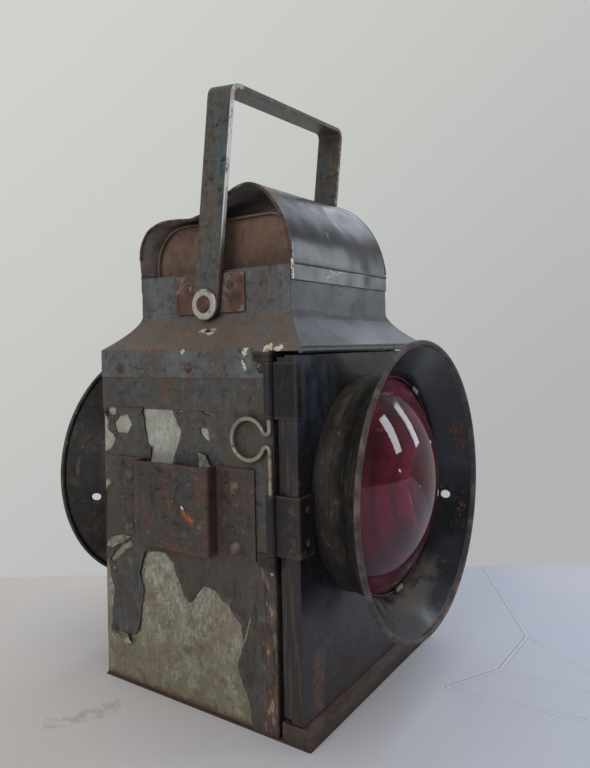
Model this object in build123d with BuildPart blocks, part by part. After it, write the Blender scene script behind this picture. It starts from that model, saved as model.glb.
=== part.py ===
from build123d import *
import math
import os

# Railway signal lamp: a square sheet steel case that stands on its base, with a vented
# arched top, a swinging strap bail, a hooded bullseye lens in the front door, a second one in
# the back wall, a lamp iron socket on the left side, and an oil burner inside.
# Millimetres. The origin is the centre of the base, +Z is up, the front lens looks along -Y
# and the lamp iron socket faces -X.

os.makedirs("parts", exist_ok=True)

# Driving dimensions of the case and the roof
sheet = 1.2
base_half = 90.0
case_half = 89.0
case_front = -66.6
case_top = 238.0
band_bottom = 198.0
band_thick = 0.8
skirt_bottom = 220.0
skirt_front = -62.5
eave_z = 240.0
eave_half = 90.2
eave_drop = 3.0
neck_half = 68.5
neck_bottom = 264.0
neck_top = 293.5
bead_radius = 1.5

# Driving dimensions of the canopy and the vent under it
arch_radius = 68.0
arch_centre_z = 296.3
canopy_hem_z = 283.0
canopy_end = 68.0
drum_half = 62.0
drum_top = 331.5
drum_end = 58.0
dented_shoulder = 28.0
round_shoulder = 18.0

# Driving dimensions of the bail and its pivots
pivot_z = 270.3
bail_tilt = 6.7
strap_width = 22.0
strap_thick = 3.0
bail_inner = 71.0
bail_top_left = 422.6
bail_top_right = 428.4
bolt_radius = 4.0
running_gap = 0.05

# Driving dimensions of the lenses, collars and hoods
lens_z = 143.0
lens_radius = 73.0
lens_edge_front = 102.5
lens_edge_back = 97.5
dome_height = 27.0
collar_outer = 74.7
collar_end = 104.0
hood_sleeve_start = 97.0
hood_rim_radius = 97.2
hood_rim_depth = 128.6
hood_bead = 1.9

# Driving dimensions of the door and its hinge
door_half = 89.5
door_front = -85.0
door_bottom = 13.3
door_top = 234.5
door_skin_back = -77.0
door_frame_back = -70.4
hinge_x = -92.6
hinge_y = -66.8
wire_radius = 1.4

# Driving dimensions of the lamp iron socket
socket_y = 12.5
socket_bottom = 106.0
socket_top = 163.0
pocket_half = 34.0
pocket_front = -100.5
socket_sheet = 1.6
socket_rivet_rows = (socket_bottom + 6.3, socket_top - 12.8)
socket_rivet_columns = (socket_y - 49, socket_y + 48.3)
socket_rivet_places = [(y, z) for y in socket_rivet_columns for z in socket_rivet_rows]
socket_rivet_hole = 2.05

# Driving dimensions of the burner
tank_top = 66.0
flame_z = 116.0
wick_width = 22.0
wick_thick = 3.0
spindle_z = 88.0
spur_radius = 4.2


def finish(piece, label):
    """Label a finished piece and write it to its own file."""
    piece.part.label = label
    export_step(piece.part, f"parts/{label}.step")


def three_walls(outer, front, thick):
    """Outline of a sheet that goes round the left, the back and the right side."""
    with Locations((0, (outer + front) / 2)):
        Rectangle(2 * outer, outer - front)
    with Locations((0, (outer - thick + front) / 2)):
        Rectangle(2 * (outer - thick), outer - thick - front, mode=Mode.SUBTRACT)


def outline(points):
    """Closed straight-sided face through the given corners."""
    Polygon(*points, align=None)


def dome_rivet(head_radius, head_height, shank_radius=0, shank_length=0):
    """Rivet with a domed head, standing on the XY plane with its head up."""
    with BuildPart() as rivet:
        with BuildSketch(Plane.XZ):
            with BuildLine():
                Line((0, head_height), (0, 0))
                Line((0, 0), (head_radius, 0))
                RadiusArc((head_radius, 0), (0, head_height), dome_curve(head_radius, head_height))
            make_face()
        revolve(axis=Axis.Z)
        if shank_length > 0:
            with BuildSketch(Plane.XY):
                Circle(shank_radius)
            extrude(amount=-shank_length)
    return rivet.part


def dome_curve(radius, height):
    """Radius of the sphere that a dome of this radius and height is cut from."""
    return -(radius**2 + height**2) / (2 * height)


# Base tray: floor plate, upstand inside the walls and the hollow sill under the door
sill_top = 12.5
sill_nose = 9.0
sill_crest = -84.5
sill_back = -70.0
upstand = 10.0
sill_outside = [(-base_half, 0), (-base_half, sill_nose), (sill_crest, sill_top), (sill_back, sill_top)]
sill_inside = [(sill_back, sill_top - sheet), (sill_crest + 0.4, sill_top - sheet),
               (-base_half + sheet, sill_nose - 0.7), (-base_half + sheet, 0)]
with BuildPart() as base_tray:
    with BuildSketch(Plane.XY):
        Rectangle(2 * base_half, 2 * base_half)
    extrude(amount=sheet)
    with BuildSketch(Plane.XY.offset(sheet)):
        three_walls(case_half - sheet, case_front + 4, sheet)
    extrude(amount=upstand)
    with BuildSketch(Plane.YZ.offset(-base_half)):
        outline(sill_outside + sill_inside)
    extrude(amount=2 * base_half)
    for end_x in (-base_half, base_half - sheet):
        with BuildSketch(Plane.YZ.offset(end_x)):
            outline(sill_outside + [(sill_back, 0)])
        extrude(amount=sheet)
finish(base_tray, "base_tray")

# Case shell: one sheet wrapped round three sides, its front edges turned in
back_hole_radius = collar_outer + 0.1
turned_edge = 12.0
air_hole_z = 24.0
air_hole_radius = 3.0
air_hole_pitch = 18.0
air_hole_count = 5
with BuildPart() as case_shell:
    with BuildSketch(Plane.XY.offset(sheet)):
        three_walls(case_half, case_front, sheet)
        for side in (-1, 1):
            with Locations((side * (case_half - turned_edge / 2), case_front + sheet / 2)):
                Rectangle(turned_edge, sheet)
    extrude(amount=case_top - sheet)
    with BuildSketch(Plane.XZ.offset(-case_half - 1)):
        with Locations((0, lens_z)):
            Circle(back_hole_radius)
        with Locations((0, air_hole_z)):
            with GridLocations(air_hole_pitch, 1, air_hole_count, 1):
                Circle(air_hole_radius)
    extrude(amount=5, mode=Mode.SUBTRACT)
    with BuildSketch(Plane.YZ.offset(-case_half - 1)):
        with Locations(*socket_rivet_places):
            Circle(socket_rivet_hole)
    extrude(amount=3, mode=Mode.SUBTRACT)
finish(case_shell, "case_shell")

# Front frame: stiffening plate just behind the turned edges, with the door opening in it
opening_half = 72.0
opening_low = 16.0
opening_high = 224.0
with BuildPart() as front_frame:
    with BuildSketch(Plane.XZ.offset(-case_front - 2 * sheet)):
        with Locations((0, (sheet + case_top) / 2)):
            Rectangle(2 * (case_half - sheet), case_top - sheet)
        with Locations((0, (opening_low + opening_high) / 2)):
            Rectangle(2 * opening_half, opening_high - opening_low, mode=Mode.SUBTRACT)
    extrude(amount=sheet)
finish(front_frame, "front_frame")

# Upper band: a flat strap round the three walls, just under the roof skirt
with BuildPart() as upper_band:
    with BuildSketch(Plane.XY.offset(band_bottom)):
        three_walls(case_half + band_thick, skirt_front, band_thick)
    extrude(amount=skirt_bottom - band_bottom)
    with BuildSketch(Plane.XZ.offset(-case_half - 2)):
        with Locations((0, lens_z)):
            Circle(back_hole_radius)
    extrude(amount=5, mode=Mode.SUBTRACT)
finish(upper_band, "upper_band")

# Roof shell: skirt, drip edge, hollow-curved slope and square neck in one soldered piece
cove_steps = 8
cove_power = 1.5
roof_sheet = 1.4
neck_lip = 10.5


def cove_half(share, inset):
    """Half width of the roof at a share of the way up its slope."""
    return neck_half + (eave_half - neck_half) * (1 - share) ** cove_power - inset


with BuildPart() as roof_shell:
    for inset, way in ((0, Mode.ADD), (roof_sheet, Mode.SUBTRACT)):
        for step in range(cove_steps + 1):
            share = step / cove_steps
            with BuildSketch(Plane.XY.offset(eave_z + (neck_bottom - eave_z) * share)):
                Rectangle(2 * cove_half(share, inset), 2 * cove_half(share, inset))
        loft(ruled=True, mode=way)
    with BuildSketch(Plane.XY.offset(neck_bottom)):
        Rectangle(2 * neck_half, 2 * neck_half)
        Rectangle(2 * (neck_half - roof_sheet), 2 * (neck_half - roof_sheet), mode=Mode.SUBTRACT)
    extrude(amount=neck_top - neck_bottom)
    with BuildSketch(Plane.XY.offset(neck_top - sheet)):
        Rectangle(2 * neck_half, 2 * neck_half)
        Rectangle(2 * (neck_half - neck_lip), 2 * (neck_half - neck_lip), mode=Mode.SUBTRACT)
    extrude(amount=sheet)
    with BuildSketch(Plane.XY.offset(eave_z - eave_drop)):
        Rectangle(2 * eave_half, 2 * eave_half)
        Rectangle(2 * (eave_half - sheet), 2 * (eave_half - sheet), mode=Mode.SUBTRACT)
    extrude(amount=eave_drop)
    with BuildSketch(Plane.XY.offset(skirt_bottom)):
        three_walls(eave_half, skirt_front, sheet)
    extrude(amount=eave_z - skirt_bottom)
    with BuildSketch(Plane.YZ.offset(-eave_half)):
        with Locations((-eave_half + bead_radius - 0.6, eave_z - eave_drop)):
            Circle(bead_radius)
    extrude(amount=2 * eave_half)
    for side in (-1, 1):
        with BuildSketch(Plane.YZ.offset(side * neck_half)):
            with Locations((0, pivot_z)):
                Circle(bolt_radius + 0.1)
        extrude(amount=2, both=True, mode=Mode.SUBTRACT)
finish(roof_shell, "roof_shell")

# Canopy: an arched cover that laps the neck, its left end beaten in behind the bail
lap_outer = neck_half + 0.1 + sheet
arch_points = 18
foot_flare = lap_outer - arch_radius - 0.3
crown_sag = 3.0
fade_power = 1.25
beaten_pitch = 10.0
beaten_end = (69.5, 72.0, 73.0, 69.5, 59.3, 49.3, 42.6, 39.4, 39.4, 41.3, 45.6, 54.2, 64.0, 68.2, 69.1, 69.4,
              69.5, 69.5, 69.5)


def arch_reach(angle, x):
    """Radius of the arch's outer face: beaten in at the left end, sagging a little on the crown."""
    height = math.sin(math.radians(angle))
    straight = arch_radius + foot_flare * (1 - height) ** 2
    sag = crown_sag * math.exp(-(((angle - 85) / 25) ** 2))
    step = min(int(angle / beaten_pitch), len(beaten_end) - 2)
    share = angle / beaten_pitch - step
    beaten = beaten_end[step] + (beaten_end[step + 1] - beaten_end[step]) * share
    fade = ((canopy_end - x) / (2 * canopy_end)) ** fade_power
    return straight - sag + (beaten - straight + sag) * fade


def arch_section(x, thick):
    """Points of the arch at one station, from the +Y foot over the top to the -Y foot."""
    points = []
    for index in range(arch_points + 1):
        angle = 180 * index / arch_points
        reach = arch_reach(angle, x) - thick
        y = reach * math.cos(math.radians(angle))
        z = arch_centre_z + reach * math.sin(math.radians(angle))
        points.append((y, z))
    return points


station_steps = 10
stations = [-canopy_end + 2 * canopy_end * step / station_steps for step in range(station_steps + 1)]
arch_foot = arch_centre_z + 0.6
lap_bead = 0.9
with BuildPart() as canopy:
    for station in stations:
        outer_points = arch_section(station, 0)
        inner_points = arch_section(station, sheet)
        with BuildSketch(Plane.YZ.offset(station)):
            with BuildLine():
                Spline(*outer_points)
                Spline(*inner_points)
                Line(outer_points[0], inner_points[0])
                Line(outer_points[-1], inner_points[-1])
            make_face()
    loft(ruled=True)
    for side in (-1, 1):
        with BuildSketch(Plane.YZ.offset(-canopy_end)):
            outline([(side * lap_outer, canopy_hem_z), (side * lap_outer, arch_foot),
                     (side * (lap_outer - sheet), arch_foot), (side * (lap_outer - sheet), canopy_hem_z)])
            with Locations((side * (lap_outer - 0.15), neck_top + 0.8)):
                Circle(lap_bead)
        extrude(amount=2 * canopy_end)
finish(canopy, "canopy")

# Vent drum: the inner arched cover that stands on the neck under the canopy
drum_lap = 0.6
drum_plate_inset = 3.0
vent_hole_radius = 4.0
vent_hole_rise = 9.0


def drum_section(inset):
    """Cross-section of the drum drawn in by a distance, with its left shoulder beaten rounder."""
    with BuildSketch() as section:
        with Locations((0, (neck_top + drum_top - inset) / 2)):
            Rectangle(2 * (drum_half - inset), drum_top - inset - neck_top)
        for end, shoulder in ((0, round_shoulder), (-1, dented_shoulder)):
            corner = section.vertices().group_by(Axis.Y)[-1].sort_by(Axis.X)[end]
            fillet(corner, radius=shoulder - inset)
    return section.sketch


with BuildPart() as vent_drum:
    for inset, way in ((0, Mode.ADD), (sheet, Mode.SUBTRACT)):
        with BuildSketch(Plane.YZ.offset(-drum_end)):
            add(drum_section(inset))
        extrude(amount=2 * drum_end, mode=way)
    for end_x in (-drum_end + drum_plate_inset, drum_end - drum_plate_inset - sheet):
        with BuildSketch(Plane.YZ.offset(end_x)):
            add(drum_section(drum_lap))
        extrude(amount=sheet)
    with BuildSketch(Plane.XZ.offset(-drum_half - 2)):
        with Locations((0, neck_top + vent_hole_rise)):
            with GridLocations(air_hole_pitch, 1, air_hole_count, 1):
                Circle(vent_hole_radius)
    extrude(amount=2 * drum_half + 4, mode=Mode.SUBTRACT)
finish(vent_drum, "vent_drum")

# Smoke baffle: a strip across the neck with its ends turned down against the walls
baffle_z = 284.0
baffle_half = neck_half - roof_sheet
baffle_depth = 40.0
baffle_lip = 6.0
with BuildPart() as smoke_baffle:
    with BuildSketch(Plane.XZ.offset(-baffle_depth)):
        outline([(-baffle_half, baffle_z - baffle_lip), (-baffle_half, baffle_z), (baffle_half, baffle_z),
                 (baffle_half, baffle_z - baffle_lip), (baffle_half - sheet, baffle_z - baffle_lip),
                 (baffle_half - sheet, baffle_z - sheet), (-baffle_half + sheet, baffle_z - sheet),
                 (-baffle_half + sheet, baffle_z - baffle_lip)])
    extrude(amount=2 * baffle_depth)
finish(smoke_baffle, "smoke_baffle")

# Bail plates: one rusty plate on each side of the neck carries the bail's pivot
plate_thick = 1.5
plate_half = 31.5
plate_low = 264.3
plate_high = 291.6
plate_rivet_y = 19.7
plate_rivet_z = 283.0
with BuildPart() as bail_plates:
    for side in (-1, 1):
        plate_start = neck_half if side > 0 else -neck_half - plate_thick
        with BuildSketch(Plane.YZ.offset(plate_start)):
            with Locations((0, (plate_low + plate_high) / 2)):
                RectangleRounded(2 * plate_half, plate_high - plate_low, 2)
            with Locations((0, pivot_z)):
                Circle(bolt_radius + 0.1, mode=Mode.SUBTRACT)
        extrude(amount=plate_thick)
finish(bail_plates, "bail_plates")

# Plate rivets: flat-headed, hammered nearly flush
flat_rivet = dome_rivet(4.2, 0.6)
with BuildPart() as bail_plate_rivets:
    for side in (-1, 1):
        plate_outside = side * (neck_half + plate_thick)
        for rivet_y in (-plate_rivet_y, plate_rivet_y):
            with Locations(Location((plate_outside, rivet_y, plate_rivet_z), (0, side * 90, 0))):
                add(flat_rivet)
finish(bail_plate_rivets, "bail_plate_rivets")

# Bail: one strap bent over the canopy, its feet rounded and bored for the bolts
bail_outer = bail_inner + strap_thick
tilt = math.radians(bail_tilt)
bail_plane = Plane(origin=(0, 0, pivot_z), x_dir=(1, 0, 0), z_dir=(0, -math.cos(tilt), -math.sin(tilt)))
foot = strap_width / 2
left_rise = bail_top_left - pivot_z
right_rise = bail_top_right - pivot_z
bend_outer = 8.0
bend_inner = bend_outer - strap_thick
with BuildPart() as bail:
    with BuildSketch(bail_plane):
        with BuildLine():
            FilletPolyline((-bail_outer, -foot), (-bail_outer, left_rise), (bail_outer, right_rise),
                           (bail_outer, -foot), radius=bend_outer)
            FilletPolyline((-bail_inner, -foot), (-bail_inner, left_rise - strap_thick),
                           (bail_inner, right_rise - strap_thick), (bail_inner, -foot), radius=bend_inner)
            Line((-bail_outer, -foot), (-bail_inner, -foot))
            Line((bail_outer, -foot), (bail_inner, -foot))
        make_face()
    extrude(amount=strap_width / 2, both=True)
    foot_edges = bail.edges().filter_by(Axis.X).group_by(Axis.Z)[0:2]
    fillet([edge for group in foot_edges for edge in group], radius=foot - 0.3)
    with BuildSketch(Plane.YZ):
        with Locations((0, pivot_z)):
            Circle(bolt_radius + running_gap)
    extrude(amount=bail_outer + 2, both=True, mode=Mode.SUBTRACT)
finish(bail, "bail")

# Pivot bolts, washers and nuts
washer_start = bail_outer + 0.3
washer_thick = 1.8
washer_radius = 11.0
nut_radius = 6.4
nut_height = 4.0
bolt_end = neck_half - 8
with BuildPart() as pivot_bolts:
    for side in (-1, 1):
        with BuildSketch(Plane.YZ.offset(side * bolt_end)):
            with Locations((0, pivot_z)):
                Circle(bolt_radius)
        extrude(amount=side * (washer_start + washer_thick - bolt_end))
        with Locations(Location((side * (washer_start + washer_thick), 0, pivot_z), (0, side * 90, 0))):
            add(dome_rivet(6.2, 3.6))
finish(pivot_bolts, "pivot_bolts")

with BuildPart() as pivot_washers:
    for side in (-1, 1):
        washer_place = Plane(origin=(side * washer_start, 0, pivot_z), x_dir=(0, 1, 0), z_dir=(side, 0, 0))
        with BuildSketch(washer_place):
            Circle(washer_radius)
            Circle(bolt_radius + 0.1, mode=Mode.SUBTRACT)
        extrude(amount=washer_thick)
    rim_edges = pivot_washers.edges().filter_by(GeomType.CIRCLE)
    rim_edges = rim_edges.filter_by(lambda edge: edge.radius > bolt_radius + 1)
    fillet(rim_edges.group_by(Axis.X)[0] + rim_edges.group_by(Axis.X)[-1], radius=1.2)
finish(pivot_washers, "pivot_washers")

with BuildPart() as pivot_nuts:
    for side in (-1, 1):
        with BuildSketch(Plane.YZ.offset(side * (neck_half - roof_sheet))):
            with Locations((0, pivot_z)):
                RegularPolygon(nut_radius, 6)
                Circle(bolt_radius + 0.02, mode=Mode.SUBTRACT)
        extrude(amount=-side * nut_height)
finish(pivot_nuts, "pivot_nuts")

# Case rivets: skirt rivets in rows, seam rivets at the back corners, one low on each side
skirt_rivet = dome_rivet(3.4, 2.0)
seam_rivet = dome_rivet(3.0, 1.7)
skirt_rivet_z = 226.8
seam_y = 79.0
low_rivet_z = 6.5
case_rivet_places = ((seam_y, 188.5), (seam_y, 79), (seam_y, 37), (-13.6, low_rivet_z), (30, low_rivet_z))
with BuildPart() as skirt_rivets:
    for side in (-1, 1):
        for rivet_y in (70, 2, -59.4):
            with Locations(Location((side * eave_half, rivet_y, skirt_rivet_z), (0, side * 90, 0))):
                add(skirt_rivet)
    for rivet_x in (-62, 0, 62):
        with Locations(Location((rivet_x, eave_half, skirt_rivet_z), (-90, 0, 0))):
            add(skirt_rivet)
finish(skirt_rivets, "skirt_rivets")

with BuildPart() as case_rivets:
    for side in (-1, 1):
        for rivet_y, rivet_z in case_rivet_places:
            with Locations(Location((side * case_half, rivet_y, rivet_z), (0, side * 90, 0))):
                add(seam_rivet)
finish(case_rivets, "case_rivets")

# Lamp iron socket: a plate folded out into a pocket that is open at top and bottom
flange_left = socket_y + 62
flange_right = socket_y - 65.2
pocket_left = socket_y + pocket_half
pocket_right = socket_y - pocket_half
plate_face = -case_half - socket_sheet
pocket_back = pocket_front + socket_sheet
bore_left = pocket_left - socket_sheet
bore_right = pocket_right + socket_sheet
with BuildPart() as lamp_iron_socket:
    with BuildSketch(Plane.XY.offset(socket_bottom)):
        outline([(-case_half, flange_left), (plate_face, flange_left), (plate_face, pocket_left),
                 (pocket_front, pocket_left), (pocket_front, pocket_right), (plate_face, pocket_right),
                 (plate_face, flange_right), (-case_half, flange_right),
                 (-case_half, bore_right), (pocket_back, bore_right), (pocket_back, bore_left),
                 (-case_half, bore_left)])
    extrude(amount=socket_top - socket_bottom)
    pocket_corners = lamp_iron_socket.edges().filter_by(Axis.Z).group_by(Axis.X)[0]
    fillet(pocket_corners, radius=2.4)
    with BuildSketch(Plane.YZ.offset(-case_half)):
        with Locations(*socket_rivet_places):
            Circle(socket_rivet_hole)
    extrude(amount=-socket_sheet, mode=Mode.SUBTRACT)
finish(lamp_iron_socket, "lamp_iron_socket")

# Socket backing: the plate inside the wall that the socket's rivets pull against
backing_face = -case_half + sheet
with BuildPart() as socket_backing:
    with BuildSketch(Plane.YZ.offset(backing_face)):
        with Locations((socket_y, (socket_bottom + socket_top) / 2)):
            RectangleRounded(118, 50, 4)
        with Locations(*socket_rivet_places):
            Circle(socket_rivet_hole, mode=Mode.SUBTRACT)
    extrude(amount=socket_sheet)
finish(socket_backing, "socket_backing")

socket_rivet = dome_rivet(4.8, 2.9, 2.0, 2 * socket_sheet + sheet + 0.8)
with BuildPart() as socket_rivets:
    for rivet_y, rivet_z in socket_rivet_places:
        with Locations(Location((plate_face, rivet_y, rivet_z), (0, -90, 0))):
            add(socket_rivet)
finish(socket_rivets, "socket_rivets")

# Hinge pin: one steel wire, bent into a finger loop half way up so that it can be drawn out
loop_y = -50.0
loop_z = 182.2
loop_radius = 13.0
foot_radius = 2.6
foot_y = hinge_y + foot_radius
foot_drop = math.sqrt((loop_radius + foot_radius) ** 2 - (loop_y - foot_y) ** 2)
tangent_share = loop_radius / (loop_radius + foot_radius)
pin_bottom = 101.0
pin_top = 238.0
low_join = (loop_y + (foot_y - loop_y) * tangent_share, loop_z - foot_drop * tangent_share)
high_join = (low_join[0], loop_z + foot_drop * tangent_share)
low_crown = (foot_y, loop_z - foot_drop + foot_radius)
high_crown = (foot_y, loop_z + foot_drop - foot_radius)
bend_side = foot_radius * math.sin(math.radians(20))
bend_rise = foot_radius * math.cos(math.radians(20))
with BuildPart() as hinge_pin:
    with BuildLine(Plane.YZ.offset(hinge_x)) as pin_path:
        Line((hinge_y, pin_bottom), (hinge_y, loop_z - foot_drop))
        CenterArc((foot_y, loop_z - foot_drop), foot_radius, 90, 90)
        ThreePointArc(low_crown, (foot_y + bend_side, loop_z - foot_drop + bend_rise), low_join)
        ThreePointArc(low_join, (loop_y + loop_radius, loop_z), high_join)
        ThreePointArc(high_join, (foot_y + bend_side, loop_z + foot_drop - bend_rise), high_crown)
        CenterArc((foot_y, loop_z + foot_drop), foot_radius, 180, 90)
        Line((hinge_y, loop_z + foot_drop), (hinge_y, pin_top))
    with BuildSketch(Plane(origin=(hinge_x, hinge_y, pin_bottom), z_dir=(0, 0, 1))):
        Circle(wire_radius)
    sweep()
finish(hinge_pin, "hinge_pin")

# Hinge lugs: two short rolled leaves on the case, above the upper strap and below the lower
roll_bore = wire_radius + running_gap
leaf_thick = 1.6
roll_outer = roll_bore + leaf_thick
lug_leaf = 13.0
lugs = ((231.0, 5.5, eave_half), (103.5, 8.2, case_half))
with BuildPart() as hinge_lugs:
    for lug_bottom, lug_height, leaf_face in lugs:
        with BuildSketch(Plane.XY.offset(lug_bottom)):
            with Locations((hinge_x, hinge_y)):
                Circle(roll_outer)
            outline([(-leaf_face, hinge_y + 1.5), (-leaf_face, hinge_y + lug_leaf),
                     (-leaf_face - leaf_thick, hinge_y + lug_leaf), (-leaf_face - leaf_thick, hinge_y + 1.5)])
            with Locations((hinge_x, hinge_y)):
                Circle(roll_bore, mode=Mode.SUBTRACT)
        extrude(amount=lug_height)
finish(hinge_lugs, "hinge_lugs")

# Door skin: a shallow pressed tray with the round hole for the lens collar
with BuildPart() as door_skin:
    with BuildSketch(Plane.XZ.offset(-door_front - sheet)):
        with Locations((0, (door_bottom + door_top) / 2)):
            Rectangle(2 * door_half, door_top - door_bottom)
        with Locations((0, lens_z)):
            Circle(collar_outer + 0.1, mode=Mode.SUBTRACT)
    extrude(amount=sheet)
    with BuildSketch(Plane.XZ.offset(-door_skin_back)):
        with Locations((0, (door_bottom + door_top) / 2)):
            Rectangle(2 * door_half, door_top - door_bottom)
            Rectangle(2 * (door_half - sheet), door_top - door_bottom - 2 * sheet, mode=Mode.SUBTRACT)
    extrude(amount=door_skin_back - door_front)
    long_edges = door_skin.edges().filter_by(Axis.Z).group_by(Axis.Y)[0]
    fillet(long_edges.group_by(Axis.X)[0] + long_edges.group_by(Axis.X)[-1], radius=1.0)
finish(door_skin, "door_skin")

# Door frame: a deeper ring nested in the skin, its back edge turned in to meet the case
frame_half = door_half - sheet - 0.1
frame_high = door_top - door_bottom - 2 * sheet - 0.2
frame_lip = 9.0
with BuildPart() as door_frame:
    with BuildSketch(Plane.XZ.offset(-door_frame_back)):
        with Locations((0, (door_bottom + door_top) / 2)):
            Rectangle(2 * frame_half, frame_high)
            Rectangle(2 * (frame_half - sheet), frame_high - 2 * sheet, mode=Mode.SUBTRACT)
    extrude(amount=door_frame_back - door_front - sheet)
    with BuildSketch(Plane.XZ.offset(-door_frame_back)):
        with Locations((0, (door_bottom + door_top) / 2)):
            Rectangle(2 * frame_half, frame_high)
            Rectangle(2 * (frame_half - frame_lip), frame_high - 2 * frame_lip, mode=Mode.SUBTRACT)
    extrude(amount=sheet)
finish(door_frame, "door_frame")

# Hinge straps: rolled round the pin, laid along the door's edge and over its front


def hinge_strap(bottom, height, reach):
    """One strap of the door hinge, its front leaf reaching over the door's face."""
    inner = -door_half
    outer = inner - leaf_thick
    face = door_front - leaf_thick
    with BuildPart() as strap:
        with BuildSketch(Plane.XY.offset(bottom)):
            with Locations((hinge_x, hinge_y)):
                Circle(roll_outer)
            Polygon((inner, hinge_y), (outer, hinge_y), (outer, face), (inner, face), align=None)
            Polygon((outer, face), (outer + reach, face), (outer + reach, door_front),
                    (outer, door_front), align=None)
            with Locations((hinge_x, hinge_y)):
                Circle(roll_bore, mode=Mode.SUBTRACT)
        extrude(amount=height)
        corner = strap.edges().filter_by(Axis.Z).sort_by_distance((outer, face, bottom + height / 2))[0]
        fillet(corner, radius=1.4)
    return strap


straps = (("upper_hinge_strap", 195.5, 35.1, 6.0), ("lower_hinge_strap", 112.4, 36.6, 15.4))
for strap_label, strap_bottom, strap_height, strap_reach in straps:
    finish(hinge_strap(strap_bottom, strap_height, strap_reach), strap_label)

strap_rivet = dome_rivet(2.3, 1.0)
strap_rivet_x = -82.0
strap_rivet_rise = 10.0
low_strap_middle = straps[1][1] + straps[1][2] / 2
with BuildPart() as strap_rivets:
    for rivet_z in (low_strap_middle - strap_rivet_rise, low_strap_middle + strap_rivet_rise):
        with Locations(Location((strap_rivet_x, door_front - leaf_thick, rivet_z), (90, 0, 0))):
            add(strap_rivet)
finish(strap_rivets, "strap_rivets")

# Door tab and the leaf spring that holds the door shut, both on the right side
tab_z = 138.0
tab_rivet = dome_rivet(2.6, 1.2)
with BuildPart() as door_tab:
    with BuildSketch(Plane.XZ.offset(-door_front)):
        with Locations((87.5, tab_z)):
            SlotOverall(24, 16)
    extrude(amount=sheet)
    with Locations(Location((82, door_front - sheet, tab_z), (90, 0, 0))):
        add(tab_rivet)
finish(door_tab, "door_tab")

spring_thick = 1.0
spring_step = 1.2
spring_height = 22.0
spring_face = case_half + spring_thick
with BuildPart() as catch_spring:
    with BuildSketch(Plane.XY.offset(tab_z - spring_height / 2)):
        outline([(case_half, -28), (spring_face, -28), (spring_face, -54), (spring_face + spring_step, -57),
                 (spring_face + spring_step, -79), (case_half + spring_step, -79),
                 (case_half + spring_step, -57.3), (case_half, -54.3)])
    extrude(amount=spring_height)
    for rivet_z in (tab_z - 6, tab_z + 6):
        with Locations(Location((spring_face, -37, rivet_z), (0, 90, 0))):
            add(tab_rivet)
finish(catch_spring, "catch_spring")

# Lens parts, made alike for the front (side -1) and the back (side +1)
lens_axis = Axis((0, 0, lens_z), (0, 1, 0))
flange_radius = 81.0
hood_sleeve_outer = 75.9
hood_sleeve_inner = 74.7
hood_bend_depth = 105.5
hood_bend_radius = 14.0
hood_hole_depth = 112.0
hood_hole_radius = 3.0
lens_back_depth = 101.0
lens_steps = ((106.5, 28.0), (100.5, 28.0), (105.0, 44.0), (99.0, 44.0), (103.0, 60.0), (lens_edge_back, 60.0))
seat_back = 95.8
seat_front = 97.3
seat_bore = 64.0
clip_circle = 72.9
clip_depth = 105.0
dome_sphere = (lens_radius**2 + dome_height**2) / (2 * dome_height)
front_sheet_face = -door_front - sheet
back_sheet_face = case_half - sheet


def lens_collar(side, sheet_face):
    """Tube that carries the lens, with a flange behind the sheet it passes through."""
    with BuildPart() as collar:
        with BuildSketch(Plane.YZ):
            Polygon((side * (sheet_face - sheet), lens_z + flange_radius),
                    (side * sheet_face, lens_z + flange_radius),
                    (side * sheet_face, lens_z + collar_outer), (side * collar_end, lens_z + collar_outer),
                    (side * collar_end, lens_z + collar_outer - sheet),
                    (side * (sheet_face - sheet), lens_z + collar_outer - sheet), align=None)
        revolve(axis=lens_axis)
    return collar


def lens_hood(side, hole_angle):
    """Flared hood: a sleeve over the collar, a soft bend, a cone, a wired rim and one drain hole."""
    with BuildPart() as hood:
        with BuildSketch(Plane.YZ):
            with BuildLine():
                FilletPolyline((side * hood_sleeve_start, lens_z + hood_sleeve_outer),
                               (side * hood_bend_depth, lens_z + hood_sleeve_outer),
                               (side * hood_rim_depth, lens_z + hood_rim_radius), radius=hood_bend_radius)
                FilletPolyline((side * hood_sleeve_start, lens_z + hood_sleeve_inner),
                               (side * (hood_bend_depth + 0.5), lens_z + hood_sleeve_inner),
                               (side * (hood_rim_depth + 0.8), lens_z + hood_rim_radius - 0.9),
                               radius=hood_bend_radius + sheet)
                Line((side * hood_sleeve_start, lens_z + hood_sleeve_outer),
                     (side * hood_sleeve_start, lens_z + hood_sleeve_inner))
                Line((side * hood_rim_depth, lens_z + hood_rim_radius),
                     (side * (hood_rim_depth + 0.8), lens_z + hood_rim_radius - 0.9))
            make_face()
            with Locations((side * hood_rim_depth, lens_z + hood_rim_radius)):
                Circle(hood_bead)
        revolve(axis=lens_axis)
        away = (math.cos(math.radians(hole_angle)), 0, math.sin(math.radians(hole_angle)))
        with BuildSketch(Plane(origin=(0, side * hood_hole_depth, lens_z), z_dir=away).offset(60)):
            Circle(hood_hole_radius)
        extrude(amount=60, mode=Mode.SUBTRACT)
    return hood


def bullseye_lens(side):
    """Domed lens, its back cut in three rising rings."""
    crown = lens_edge_front + dome_height
    with BuildPart() as lens:
        with BuildSketch(Plane.YZ):
            with BuildLine():
                Line((side * crown, lens_z), (side * lens_back_depth, lens_z))
                Polyline((side * lens_back_depth, lens_z),
                         *[(side * depth, lens_z + radius) for depth, radius in lens_steps],
                         (side * lens_edge_back, lens_z + lens_radius),
                         (side * lens_edge_front, lens_z + lens_radius))
                RadiusArc((side * lens_edge_front, lens_z + lens_radius), (side * crown, lens_z),
                          side * dome_sphere)
            make_face()
        revolve(axis=lens_axis)
    return lens


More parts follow.
